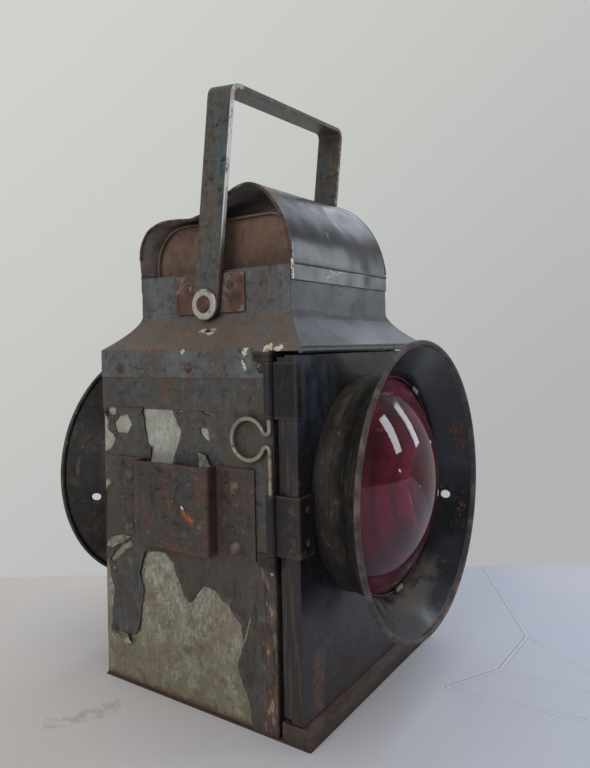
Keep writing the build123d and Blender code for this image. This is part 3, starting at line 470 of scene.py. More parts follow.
# %% [markdown]
# ## Which finish goes where
# The left wall faces the light and has gone brown, the roof is slate, and the door, the canopy
# and the hoods still have gloss. The rub and rust levels below were set by comparing each part
# with the real one. Some parts get one more layer in a small function, such as the rusty strip
# down the front corner of the case or the dust that lies in the bottom of the hood.

# %% Finishes of the case and the roof
def case_marks(f, base, rough):
    """The rusty front corner of the wall, and the rust that runs along the skirt and the band."""
    near = f.times(f.between(f.axis(1), -54 * mm, -59 * mm), f.between(f.axis(2), 118 * mm, 100 * mm))
    ragged = f.between(f.noise(7, detail=7, rough=0.7, stretch=(1, 1, 0.3), seed=21.0), 0.40, 0.54)
    pale = f.between(f.noise(4, detail=6, rough=0.7, stretch=(1, 1, 0.4), seed=22.0), 0.53, 0.63)
    grain = f.noise(3, detail=7, rough=0.75, stretch=(1, 1, 0.3), seed=27.0)
    strip = f.blend(f.blend(colour(36, 27, 24), colour(112, 76, 59), f.between(grain, 0.43, 0.53)), colour(190, 172, 152), pale)
    base = f.blend(base, strip, f.times(near, ragged, 0.9))
    brown = f.times(f.between(f.axis(2), 150 * mm, 110 * mm), f.between(f.noise(24, detail=5, seed=23.0), 0.35, 0.6))
    base = f.blend(base, colour(66, 56, 49), f.times(brown, 0.8))
    runs = f.noise(4.5, detail=7, rough=0.78, stretch=(1, 1, 0.22), seed=28.0)
    below_socket = f.between(f.axis(2), 104 * mm, 84 * mm)
    base = f.blend(base, colour(30, 26, 24), f.times(below_socket, f.between(runs, 0.50, 0.60), 0.55))
    base = f.blend(base, colour(124, 108, 94), f.times(below_socket, f.between(runs, 0.42, 0.34), 0.4))
    band_spot = f.stroke((-90, 26, 214), (-90, 25, 206), 5.5, seed=24.0)
    worn_out = f.between(f.noise(2.5, detail=5, rough=0.7, seed=25.0), 0.40, 0.55)
    base = f.blend(base, colour(102, 62, 50), f.times(band_spot, worn_out, 0.85))
    for height in (219.6, 198.2):
        seam = f.between(f.calc("ABSOLUTE", f.calc("SUBTRACT", f.axis(2), height * mm)), 2.2 * mm, 0.3 * mm)
        broken = f.between(f.noise(9, detail=7, rough=0.75, seed=height), 0.44, 0.62)
        base = f.blend(base, colour(98, 68, 56), f.times(seam, broken, 0.75))
    for start, end in (((-89.5, -36, 44), (-89.5, -42, 55)), ((-89.5, -42, 55), (-89.5, -46.6, 70)),
                       ((-89.5, -31, 35), (-89.5, -35, 33)), ((-89.5, -35, 33), (-89.5, -39, 26))):
        split = f.stroke(start, end, 1.0, 1.4, seed=26.0 + start[2])
        base = f.blend(base, colour(140, 128, 116), f.times(split, 0.8))
    return base, f.level(rough, 0.85, f.times(near, ragged))


case_paint = aged_paint("aged_case_paint", colour(70, 75, 78), colour(75, 70, 63), rust=0.06, streak=0.3, edge=0.4,
                        edge_colour=colour(96, 80, 70), scratches=0.2, gloss=0.42, fade=(0.34, 0.6), mottle=0.8,
                        marks=case_marks, seed=10.0)
sill_paint = aged_paint("rusty_sill_paint", colour(58, 50, 46), colour(76, 60, 50), rust=0.5, streak=0.35, edge=0.8,
                        edge_radius=2.6, scratches=0.35, gloss=0.5, grain=(0.3, 1, 1), seed=14.0)


def roof_marks(f, base, rough):
    """Glossier paint on the front slope, rusty soil on the left one, and a knocked-up hole whose dark inside is painted
    shade.
    """
    front = f.between(f.axis(1, f.face), -0.30, -0.55)
    cloud = f.noise(26, detail=5, rough=0.6, seed=38.0)
    smooth = f.blend(colour(36, 40, 48), colour(62, 61, 64), f.between(cloud, 0.42, 0.58))
    spots = f.between(f.noise(3.0, detail=5, rough=0.7, seed=39.0), 0.70, 0.74)
    smooth = f.blend(smooth, colour(196, 194, 188), spots)
    base = f.blend(base, smooth, f.times(front, 0.9))
    slope = f.times(f.between(f.axis(2), 264 * mm, 258 * mm), f.between(f.axis(2), 238 * mm, 241 * mm), f.without(front))
    soil = f.between(f.noise(12, detail=7, rough=0.7, seed=33.0), 0.32, 0.58)
    base = f.blend(base, colour(98, 84, 72), f.times(slope, soil, 0.85))
    for start, end, width in (((-89, 56, 241), (-89, 18, 241), 5.0), ((-78, 24, 250), (-78, 10, 250), 4.5),
                              ((-80, -30, 249), (-84, -48, 246), 4.0)):
        ragged = f.stroke(start, end, width, 2.4, seed=34.0 + width)
        bitten = f.between(f.noise(4, detail=7, rough=0.78, seed=40.0 + width), 0.46, 0.56)
        base = f.blend(base, f.blend(colour(98, 66, 52), colour(138, 88, 64), soil), f.times(ragged, bitten, 0.85))
    lip = f.stroke((-77, 0, 251.5), (-77, -8, 251), 5.5, 1.6, seed=36.0)
    base = f.blend(base, colour(186, 170, 148), f.times(lip, f.between(f.noise(3, detail=4, seed=35.0), 0.40, 0.55)))
    # The hole is not cut: its dark inside is a near-black patch of painted shade.
    hole = f.stroke((-77, -2.5, 252), (-77, -7, 251.6), 2.6, 1.2, seed=37.0)
    base = f.blend(base, colour(16, 12, 10), hole)
    for start, end, width in (((-90.2, -62, 237.6), (-90.2, -66, 239.4), 4.2), ((-90.2, -72, 238), (-90.2, -74.6, 239.6), 3.4),
                              ((-90.2, -46.6, 236), (-90.2, -48.4, 238), 3.0), ((-90.2, 7.2, 237), (-90.2, 6.4, 238.6), 2.2),
                              ((-90.2, -47, 226), (-90.2, -45, 231), 1.6)):
        fleck = f.stroke(start, end, width, 2.2, seed=42.0 + start[1])
        crumbled = f.between(f.noise(1.8, detail=4, rough=0.7, seed=43.0), 0.38, 0.46)
        base = f.blend(base, colour(206, 196, 170), f.times(fleck, crumbled))
    return base, f.level(rough, 0.24, f.times(front, f.without(spots)))


roof_paint = aged_paint("aged_roof_paint", colour(92, 98, 102), colour(84, 81, 76), rust=0.12, streak=0.3, edge=0.6, wave=1.1,
                        edge_colour=colour(88, 72, 60), scratches=0.25, dust=0.5, gloss=0.44, mottle=0.8,
                        marks=roof_marks, seed=30.0)


def canopy_marks(f, base, rough):
    """White scratches on the canopy's front, chips down its near corner, its worn end, and a pale underside that is
    painted light.
    """
    sideways = f.times(f.axis(1), f.axis(1, f.face))
    upward = f.times(f.calc("SUBTRACT", f.axis(2), 296 * mm), f.axis(2, f.face))
    underside = f.between(f.calc("ADD", sideways, upward), 0.002, -0.004)
    # The underside of the arch is given a pale grey: painted light that lifts it in the canopy's shade.
    painted_underside_light = f.blend(colour(118, 114, 118), colour(166, 152, 140), f.between(f.noise(18, detail=6, rough=0.7, seed=65.0), 0.4, 0.62))
    base = f.blend(base, painted_underside_light, f.times(underside, 0.92))
    rough = f.level(rough, 0.6, underside)
    white = colour(192, 192, 190)
    for start, end, width in (((7, -40, 350.5), (6, -50, 343), 0.9), ((6, -50, 343), (2, -56, 336), 1.1),
                              ((2, -56, 336), (6, -60.5, 329), 1.5), ((6, -60.5, 329), (11, -63, 325), 0.9),
                              ((-16, -64.6, 321), (-16, -67, 315), 0.8), ((-26, -70, 287), (-4, -70, 293), 0.8),
                              ((-21, -70, 293), (-11, -70, 290), 0.8), ((14, -70, 293), (38, -70, 292.8), 0.7)):
        scratch = f.stroke(start, end, width, 2.2, seed=60.0 + start[2] % 7)
        broken = f.between(f.noise(2.0, detail=4, rough=0.7, seed=66.0), 0.36, 0.50)
        base = f.blend(base, white, f.times(scratch, broken, 0.8))
    worn_end = f.between(f.calc("ADD", f.axis(0), f.times(f.noise(5, detail=6, rough=0.7, seed=61.0), 5 * mm)),
                         -63.5 * mm, -65.5 * mm)
    base = f.blend(base, f.blend(colour(84, 68, 58), colour(130, 112, 98), f.between(f.noise(3, detail=5, seed=62.0), 0.45, 0.6)), f.times(worn_end, 0.75))
    corner = f.stroke((-67.5, -70, 284), (-67.5, -69.5, 312), 2.2, 1.8, seed=63.0)
    chips = f.times(corner, f.between(f.noise(3.4, detail=5, rough=0.7, seed=64.0), 0.46, 0.52))
    base = f.blend(base, colour(222, 220, 214), chips)
    return base, f.level(rough, 0.7, f.times(worn_end, 0.6))


canopy_paint = aged_paint("canopy_paint", colour(20, 23, 33), colour(40, 41, 48), rust=0.05, streak=0.05, edge=0.3,
                          edge_colour=colour(104, 88, 76), scratches=0.14, dust=0.5, gloss=0.22, wave=1.4, sheen=0.04,
                          brush_relief=0.001, grain=(1, 1, 1), mottle=0.14, marks=canopy_marks, seed=55.0, specular=0.5)


def door_marks(f, base, rough):
    """Brown rust low on the door, where water stands behind the sill, and a painted bluish reflection high on its left.
    """
    low = f.times(f.between(f.axis(2), 60 * mm, 14 * mm), f.between(f.noise(13, detail=7, rough=0.7, seed=52.0), 0.44, 0.6))
    base = f.blend(base, colour(88, 62, 52), f.times(low, 0.65))
    # A bluish sheen painted on the upper left of the door: a painted reflection of the window.
    painted_reflection_area = f.times(f.between(f.axis(0), -30 * mm, -62 * mm), f.between(f.axis(2), 170 * mm, 205 * mm))
    sheen = f.between(f.noise(24, detail=6, rough=0.62, stretch=(1, 1, 0.5), seed=57.0), 0.34, 0.64)
    base = f.blend(base, colour(78, 86, 106), f.times(painted_reflection_area, sheen, 0.85))
    side = f.between(f.axis(0, f.face), -0.6, -0.8)
    ridges = f.noise(2.4, detail=5, rough=0.7, stretch=(1, 1, 0.06), seed=56.0)
    base = f.blend(base, f.blend(colour(30, 27, 27), colour(76, 63, 55), f.between(ridges, 0.46, 0.64)), f.times(side, 0.7))
    left = f.stroke((-73, -86, 12), (-70, -86, 46), 12.0, 1.6, seed=53.0)
    base = f.blend(base, colour(96, 64, 52), f.times(left, f.between(f.noise(5, detail=7, rough=0.7, seed=54.0), 0.40, 0.54), 0.9))
    return base, f.level(rough, 0.8, f.times(low, 0.8))


gloss_paint = aged_paint("worn_gloss_paint", colour(19, 21, 29), colour(34, 34, 39), rust=0.05, streak=0.06, edge=0.45,
                         edge_colour=colour(98, 80, 70), scratches=0.45, dust=0.3, gloss=0.25, wave=0.8, sheen=0.05,
                         brush_relief=0.001, mottle=0.4, marks=door_marks, seed=50.0, specular=0.5)
zinc = stained_zinc("stained_zinc")
brown_rust = rusty_metal("brown_rust", colour(84, 66, 56), colour(110, 88, 72), colour(124, 102, 86), seed=5.0, size=14.0,
                         pale_share=0.2)
plate_rust = rusty_metal("plate_rust", colour(70, 48, 40), colour(104, 74, 62), colour(128, 126, 124), shine=0.4,
                         seed=15.0, pale_share=0.5, size=5.0)
washer_steel = rusty_metal("washer_steel", colour(92, 66, 52), colour(126, 104, 88), colour(204, 204, 196), shine=0.6,
                           seed=18.0, pale_share=0.9, size=3.0)
rivet_rust = rusty_metal("rivet_rust", colour(52, 42, 37), colour(92, 72, 58), colour(138, 126, 112), seed=25.0,
                         pale_share=0.4, size=2.0)
worn_rivet = rusty_metal("worn_rivet", colour(66, 57, 51), colour(102, 88, 77), colour(142, 134, 124), shine=0.4, seed=27.0,
                         pale_share=0.3, size=2.0, dull=0.45)
wire_finish = drawn_wire("drawn_wire")
brass = dull_brass("dull_brass")
tin = tinned_sheet("tinned_sheet")
cotton = woven_cotton("woven_cotton")

# %% [markdown]
# ## The socket, the straps and the bail
# The lamp iron socket and the hinge are blacksmith's work: thick plate, rusty red on every
# edge, with streaks where the paint was scraped by the iron. The bail is brushed grey-green.

# %% Finishes of the fittings
def socket_marks(f, base, rough):
    """Red-brown scrapes that run down the socket's face, one fresh and orange."""
    red = colour(98, 58, 47)
    for start, end, width in (((-100.5, 16.4, 153.5), (-100.5, 14, 143.7), 1.8), ((-100.5, 14, 143.7), (-100.5, 10.6, 134), 1.6),
                              ((-100.5, 38, 141), (-100.5, 34, 128), 1.8), ((-100.5, 34, 128), (-100.5, 29, 120.5), 3.0),
                              ((-100.5, 24, 142), (-100.5, 14.4, 143), 1.0), ((-100.5, -14.6, 154), (-100.5, -14.3, 142), 5.0),
                              ((-100.5, 10, 107.5), (-100.5, 2.6, 105.5), 4.5), ((-90.6, -22.8, 116), (-90.6, -24, 107), 2.0)):
        scrape = f.stroke(start, end, width * 1.5, 2.4, seed=44.0 + start[1])
        bitten = f.between(f.noise(2.4, detail=6, rough=0.75, seed=47.0), 0.38, 0.58)
        base = f.blend(base, red, f.times(scrape, bitten, 0.75))
    fresh = f.stroke((-100.5, -2, 133), (-100.5, -8.6, 126.5), 4.2, 2.2, seed=45.0)
    base = f.blend(base, f.blend(colour(104, 62, 44), colour(156, 88, 52), f.between(f.noise(3, detail=4, seed=48.0), 0.4, 0.6)), fresh)
    chip = f.stroke((-100.5, 0.6, 135.6), (-100.5, -0.6, 134.8), 1.5, 1.0, seed=46.0)
    base = f.blend(base, colour(214, 206, 190), chip)
    return base, f.level(rough, 0.8, fresh)


socket_paint = aged_paint("scraped_socket_paint", colour(54, 57, 62), colour(66, 56, 49), rust=0.14, edge=0.7,
                          edge_radius=6.0, edge_colour=colour(90, 62, 51), scratches=0.25, gloss=0.40, streak=0.1,
                          mottle=0.9, marks=socket_marks, seed=70.0)


def strap_marks(f, base, rough):
    """The lower strap has rusted along its left end and its foot."""
    foot = f.stroke((-96, -88, 114), (-70, -88, 114), 7.0, 2.0, seed=77.0)
    end = f.stroke((-96, -80, 116), (-96, -80, 148), 9.0, 2.0, seed=78.0)
    bitten = f.between(f.noise(4, detail=7, rough=0.75, seed=79.0), 0.44, 0.58)
    base = f.blend(base, colour(94, 62, 50), f.times(f.either(foot, end), bitten, 0.8))
    return base, f.level(rough, 0.85, f.times(f.either(foot, end), bitten))


strap_paint = aged_paint("hinge_paint", colour(22, 24, 31), colour(34, 33, 37), rust=0.05, edge=0.38, edge_radius=4.0,
                         edge_colour=colour(84, 64, 54), scratches=0.2, gloss=0.30, streak=0.05, mottle=0.35,
                         marks=strap_marks, seed=75.0)


def bail_marks(f, base, rough):
    """Bright inner edges, where hands and hooks rub the strap, with a painted highlight laid into the same white on the
    front of the near leg and the top.
    """
    inner = f.between(f.calc("ABSOLUTE", f.axis(0)), 72.4 * mm, 71.2 * mm)
    front = f.between(f.calc("ADD", f.axis(1), f.times(f.calc("SUBTRACT", f.axis(2), 270 * mm), 0.1175)), -9.6 * mm, -10.7 * mm)
    bare_and_highlit = f.between(f.noise(11, detail=7, rough=0.7, stretch=(1, 1, 0.5), seed=83.0), 0.36, 0.44)
    high = f.between(f.axis(2), 300 * mm, 340 * mm)
    near_leg = f.between(f.axis(0), -60 * mm, -66 * mm)
    # White on the front of the near leg: worn bare metal, and a painted highlight along its inner edge.
    base = f.blend(base, colour(224, 224, 222), f.times(front, f.either(bare_and_highlit, f.times(inner, 0.8)), high, near_leg))
    # Pale chips on the front up high, partly painted highlight.
    top_chips_and_highlight = f.between(f.noise(6, detail=7, rough=0.75, seed=85.0), 0.54, 0.60)
    base = f.blend(base, colour(176, 176, 174), f.times(front, top_chips_and_highlight, high, 0.8))
    brown = f.times(f.between(f.axis(2), 395 * mm, 418 * mm), f.between(f.noise(9, detail=6, rough=0.7, seed=84.0), 0.36, 0.6))
    base = f.blend(base, colour(92, 74, 60), f.times(brown, 0.7))
    return base, rough


bail_paint = aged_paint("bail_paint", colour(70, 84, 86), colour(90, 78, 68), rust=0.12, streak=0.6, edge=0.6,
                        edge_radius=2.8, edge_colour=colour(104, 74, 60), scratches=0.4, gloss=0.36, mottle=0.95,
                        marks=bail_marks, seed=80.0)


# %% [markdown]
# ## The hoods
# The outside of each hood is brown-black and streaked round its circle, because it was brushed
# round. The inside kept its gloss, apart from rust blooms and the dust below the glass. Inside
# and outside are one sheet, so the finish asks which way a point faces: towards the lens axis
# or away from it.

# %% Finish of the hoods and the collars
lens_height = 143 * mm


def hood_inside(f):
    """1 on faces that look towards the lens axis."""
    sideways = f.times(f.axis(0), f.axis(0, f.face))
    upward = f.times(f.calc("SUBTRACT", f.axis(2), lens_height), f.axis(2, f.face))
    return f.between(f.calc("ADD", sideways, upward), 0.002, -0.002)


def hood_finish(name, seed):
    f = Finish(name)
    f.soften(0.8)
    inner = hood_inside(f)
    round_brush = f.noise(3.2, detail=5, rough=0.65, stretch=(0.12, 1, 0.12), seed=seed)
    cloudy = f.noise(24, detail=5, rough=0.6, seed=seed + 1)
    outside = f.blend(colour(30, 28, 28), colour(56, 50, 42), f.between(cloudy, 0.42, 0.66))
    outside = f.blend(outside, colour(112, 102, 86), f.times(f.between(round_brush, 0.56, 0.72), 0.55))
    gloss_black = f.blend(colour(22, 23, 28), colour(44, 46, 54), f.between(cloudy, 0.45, 0.7))
    patches = f.noise(7, detail=9, rough=0.78, warp=0.4, seed=seed + 14)
    outside = f.blend(outside, colour(14, 13, 14), f.times(f.between(patches, 0.51, 0.58), 0.85))
    outside = f.blend(outside, colour(126, 112, 96), f.times(f.between(patches, 0.43, 0.34), 0.55))
    base = f.blend(outside, gloss_black, inner)
    # Near-black deep inside the hood and in its corners: mostly painted shade, with some dirt.
    base = f.blend(base, colour(12, 12, 15), f.times(f.dirt_and_shade_in_corners(40.0), 0.7))
    rust_at = f.between(f.calc("ADD", f.noise(8, detail=8, rough=0.7, seed=seed + 2), f.times(cloudy, 0.5)), 0.93, 1.0)
    bloom = f.stroke((82, -121, 172), (84, -121, 160), 11.0, 1.6, seed=seed + 12)
    rust_at = f.either(rust_at, f.times(bloom, f.between(f.noise(4, detail=7, rough=0.7, seed=seed + 13), 0.46, 0.54)))
    base = f.blend(base, rust_mix(f, seed), f.times(rust_at, 0.8))
    low_bloom = f.stroke((88, -118, 118), (78, -122, 96), 14.0, 1.8, seed=seed + 15)
    low_bloom = f.times(low_bloom, f.between(f.noise(3, detail=7, rough=0.75, seed=seed + 16), 0.52, 0.60))
    base = f.blend(base, colour(96, 64, 52), f.times(low_bloom, 0.7))
    scraped = f.times(f.hairlines(11, 0.005, (1, 0.4, 1), 0.4, seed + 3), f.between(f.noise(20, seed=seed + 4), 0.57, 0.62))
    base = f.blend(base, colour(128, 114, 102), f.times(scraped, 0.4))
    below = f.between(f.axis(2), lens_height - 58 * mm, lens_height - 74 * mm)
    deep = f.between(f.calc("ABSOLUTE", f.axis(1)), 122 * mm, 108 * mm)
    settled = f.times(inner, below, deep, f.between(f.noise(9, detail=6, rough=0.65, seed=seed + 5), 0.34, 0.62))
    base = f.blend(base, colour(116, 100, 82), f.times(settled, 0.7))
    rim = f.times(f.between(f.calc("ABSOLUTE", f.axis(1)), 126.8 * mm, 128.2 * mm),
                  f.between(f.noise(5, detail=6, rough=0.7, seed=seed + 6), 0.25, 0.5))
    worn_rim = f.blend(colour(64, 54, 49), colour(112, 97, 90), f.between(f.noise(9, detail=8, rough=0.75, seed=seed + 7), 0.42, 0.66))
    base = f.blend(base, worn_rim, f.times(rim, 0.85))
    flecks = f.between(f.noise(2.4, detail=3, seed=seed + 8), 0.74, 0.78)
    base = f.blend(base, colour(196, 190, 178), flecks)
    rough = f.level(f.level(0.52, 0.24, inner), 0.85, f.either(rust_at, f.either(settled, f.times(rim, 0.6))))
    f.bump(f.noise(30, detail=1.5, seed=seed + 9), 0.6)
    f.bump(round_brush, 0.05)
    f.bump(rust_at, 0.12)
    return f.done(base, rough, 0.0, Specular_IOR_Level=0.45)


hood_paint = hood_finish("hood_paint", 90.0)
collar_paint = aged_paint("collar_paint", colour(34, 32, 31), colour(62, 55, 46), grain=(0.12, 1, 0.12), rust=0.14,
                          streak=0.7, edge=0.5, scratches=0.5, gloss=0.38, mottle=0.6, seed=95.0)

# %% [markdown]
# ## Glass
# The front bullseye is red glass, ground in rings on its back. Clear glass with a red filter
# would look black here, because hardly any light comes from inside the lamp, so the red is
# partly in the body of the glass, as it is in a thick pressed lens. The back one is clear.

# %% Glass
def pressed_glass(name, tint, body, see_through):
    """Thick pressed glass: part clear, part coloured body, with a pale grey film over it that is thickest on its top
    and its foot.
    """
    f = Finish(name)
    cloud = f.noise(40, detail=2, seed=3.0)
    base = f.blend(tint, body, f.between(cloud, 0.4, 0.65))
    rise = f.calc("SUBTRACT", f.axis(2), lens_height)
    reach = f.calc("SQRT", f.calc("ADD", f.times(f.axis(0), f.axis(0)), f.times(rise, rise)))
    for ring in (22, 38, 54):
        from_ring = f.calc("ABSOLUTE", f.calc("SUBTRACT", reach, ring * mm))
        base = f.blend(base, body, f.times(f.between(from_ring, 5.0 * mm, 0.6 * mm), 0.6))
    film_noise = f.noise(6, detail=6, rough=0.7, seed=4.0)
    top = f.times(f.between(f.axis(2), lens_height + 30 * mm, lens_height + 68 * mm), f.between(film_noise, 0.3, 0.7))
    foot = f.times(f.between(f.axis(2), lens_height - 60 * mm, lens_height - 70 * mm), f.between(film_noise, 0.3, 0.6))
    film = f.level(0.08, 0.20, f.between(f.noise(12, detail=6, rough=0.7, seed=6.0), 0.4, 0.65))
    grey_film = f.either(f.either(f.times(top, 0.55), f.times(foot, 0.5)), film)
    fleck = f.between(f.noise(7, detail=3, rough=0.5, seed=5.0), 0.735, 0.745)
    base = f.blend(base, colour(124, 114, 122), grey_film)
    base = f.blend(base, colour(206, 202, 198), fleck)
    rough = f.level(0.03, 0.4, f.either(f.calc("SUBTRACT", grey_film, film, clamp=True), fleck))
    f.bump(cloud, 0.3)
    clear = f.times(f.without(f.either(grey_film, fleck)), see_through)
    f.feed(f.shader.inputs["Transmission Weight"], clear)
    return f.done(base, rough, 0.0, IOR=1.5, Specular_IOR_Level=0.34)


red_glass = pressed_glass("red_glass", colour(168, 20, 60), colour(84, 10, 36), 0.74)
clear_glass = pressed_glass("clear_glass", colour(196, 206, 200), colour(180, 192, 188), 0.95)

# %% [markdown]
# ## Giving the parts their finishes
# A part that came in with the frame keeps its mesh, and only its material slot changes. The
# table says which finish each part takes.

# %% Hand out the finishes
finish_of = {
    "base_tray": sill_paint, "case_shell": zinc, "front_frame": case_paint, "upper_band": case_paint,
    "roof_shell": roof_paint, "canopy": canopy_paint, "vent_drum": brown_rust, "smoke_baffle": brown_rust,
    "bail_plates": plate_rust, "bail_plate_rivets": rivet_rust, "bail": bail_paint, "pivot_bolts": plate_rust,
    "pivot_washers": washer_steel, "pivot_nuts": rivet_rust, "skirt_rivets": rivet_rust, "case_rivets": rivet_rust,
    "lamp_iron_socket": socket_paint, "socket_backing": brown_rust, "socket_rivets": worn_rivet,
    "hinge_pin": wire_finish, "hinge_lugs": strap_paint, "upper_hinge_strap": strap_paint,
    "lower_hinge_strap": strap_paint, "strap_rivets": strap_paint, "door_skin": gloss_paint,
    "door_frame": gloss_paint, "door_tab": gloss_paint, "catch_spring": wire_finish, "tank_rails": tin,
    "oil_tank": tin, "filler_neck": brass, "filler_cap": brass, "burner_body": brass, "wick_tube": brass,
    "air_plate": brass, "burner_cone": brass, "wick": cotton, "wick_spindle": wire_finish, "wick_knob": brass,
}
for side in ("front", "back"):
    finish_of[f"{side}_collar"] = collar_paint
    finish_of[f"{side}_hood"] = hood_paint
    finish_of[f"{side}_lens"] = red_glass if side == "front" else clear_glass
    finish_of[f"{side}_lens_seat"] = brown_rust
    finish_of[f"{side}_lens_clips"] = wire_finish
    finish_of[f"{side}_lens_screws"] = wire_finish
for name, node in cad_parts.items():
    node.data.materials.clear()
    node.data.materials.append(finish_of[name])
print("finishes handed out:", len(finish_of))

# %% [markdown]
# ## Making a piece
# Every piece made here is a mesh of points and faces in the lamp's frame. It rides on the body
# that it is fixed to, so it follows the door or stays with the case.

# %% A helper that makes a piece
def make_piece(name, points, faces, material, body, slot, smooth=True):
    """A new mesh piece, with its faces turned outwards."""
    mesh = bpy.data.meshes.new(name)
    mesh.from_pydata([tuple(point) for point in points], [], faces)
    work = bmesh.new()
    work.from_mesh(mesh)
    bmesh.ops.recalc_face_normals(work, faces=work.faces)
    for face in work.faces:
        face.smooth = smooth
    work.to_mesh(mesh)
    work.free()
    mesh.materials.append(material)
    piece = bpy.data.objects.new(name, mesh)
    bpy.context.scene.collection.objects.link(piece)
    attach(piece, body)
    print(name, "has", len(mesh.polygons), "faces")
    return piece


# %% [markdown]
# ## Peeling paint
# The paint on the zinc walls has come off in torn sheets. A painted edge in a texture would be
# flat, so the paint is a real skin, a third of a millimetre thick, with holes. Each hole is
# drawn roughly in millimetres on the wall, and its outline is then torn with noise. The skin
# is filled with triangles between the outlines, and its free edges curl up a little.

# %% Tear an outline and fill a wall between outlines
case_half = 89 * mm
skin_thick = 0.45 * mm
tear_step = 1.2 * mm
tear_swing = 0.9 * mm
curl_width = 2.4 * mm
curl_most = 1.5 * mm


def torn(points, seed, swing=tear_swing):
    """A roughly drawn outline in millimetres, as a ragged one in metres."""
    result = []
    for index, start in enumerate(points):
        first = Vector(start) * mm
        last = Vector(points[(index + 1) % len(points)]) * mm
        steps = max(1, round((last - first).length / tear_step))
        for step in range(steps):
            spot = first.lerp(last, step / steps)
            large = noise.noise_vector(Vector((spot.x, spot.y, seed * 0.01)) * 140)
            small = noise.noise_vector(Vector((spot.x, spot.y, seed * 0.01)) * 520)
            result.append(spot + swing * (Vector(large[:2]) * 1.5 + Vector(small[:2]) * 0.7))
    return result


def inside(outline, spots):
    """Which of the spots lie inside a closed outline, by counting crossings."""
    corners = np.array([tuple(corner) for corner in outline])
    after = np.roll(corners, -1, axis=0)
    result = np.zeros(len(spots), bool)
    for (x0, y0), (x1, y1) in zip(corners, after):
        if y0 != y1:
            crosses = (y0 > spots[:, 1]) != (y1 > spots[:, 1])
            result ^= crosses & (spots[:, 0] < x0 + (spots[:, 1] - y0) / (y1 - y0) * (x1 - x0))
    return result


def paint_skin(name, sheet, holes, neat_holes, place, material):
    """A thin skin over one wall. place turns a spot on the wall and a height into a point."""
    loops = [[Vector(corner) * mm for corner in sheet]] + [torn(hole, 7 + 3 * i) for i, hole in enumerate(holes)]
    loops += [[Vector(corner) * mm for corner in hole] for hole in neat_holes]
    spots, borders = [], []
    for loop in loops:
        start = len(spots)
        spots += loop
        borders += [(start + i, start + (i + 1) % len(loop)) for i in range(len(loop))]
    free_edge = (len(loops[0]), len(loops[0]) + sum(len(loop) for loop in loops[1:len(holes) + 1]))
    for loop in loops[1:len(holes) + 1]:
        for index, spot in enumerate(loop):
            along = (loop[(index + 1) % len(loop)] - loop[index - 1]).normalized()
            for way in (-1, 1):
                spots.append(spot + way * curl_width * Vector((along.y, -along.x)))
    low = np.min([tuple(spot) for spot in loops[0]], axis=0)
    high = np.max([tuple(spot) for spot in loops[0]], axis=0)
    for column in np.arange(low[0] + 4 * mm, high[0], 8 * mm):
        for row in np.arange(low[1] + 4 * mm, high[1], 8 * mm):
            spots.append(Vector((column, row)))
    fixed = len([spot for loop in loops for spot in loop])
    loose = np.array([tuple(spot) for spot in spots[fixed:]])
    usable = inside(loops[0], loose)
    for loop in loops[1:]:
        usable &= ~inside(loop, loose)
    spots = spots[:fixed] + [spot for spot, good in zip(spots[fixed:], usable) if good]
    flat, _, faces, origins, _, _ = delaunay_2d_cdt(spots, borders, [], 0, 1e-7)
    middles = np.array([tuple(sum((flat[i] for i in face), Vector((0, 0))) / len(face)) for face in faces])
    kept = inside(loops[0], middles)
    for loop in loops[1:]:
        kept &= ~inside(loop, middles)
    faces = [list(face) for face, good in zip(faces, kept) if good]
    curled = []
    for spot, origin in zip(flat, origins):
        on_tear = any(free_edge[0] <= i < free_edge[1] for i in origin)
        wave = noise.noise(Vector((spot.x, spot.y, 0.3)) * 90)
        curled.append(max(0.15, 0.45 + 1.2 * wave) * curl_most if on_tear else 0.0)
    used = sorted({index for face in faces for index in face})
    number = {old: new for new, old in enumerate(used)}
    outer = [place(flat[i].x, flat[i].y, skin_thick + curled[i]) for i in used]
    inner = [place(flat[i].x, flat[i].y, curled[i]) for i in used]
    top = [[number[i] for i in face] for face in faces]
    count = len(used)
    sides = {}
    for face in top:
        for a, b in zip(face, face[1:] + face[:1]):
            sides[(a, b)] = True
    rim = [(a, b) for a, b in sides if (b, a) not in sides]
    bottom = [[i + count for i in reversed(face)] for face in top]
    walls = [[b, a, a + count, b + count] for a, b in rim]
    return make_piece(name, outer + inner, top + bottom + walls, material, "case", "body_paint", smooth=False)


# %% [markdown]
# ### The left wall
# This is the wall in the picture. The outlines below were drawn over it: one large bare area
# low down with a strip of paint left beside it, one above the socket, and small ones.

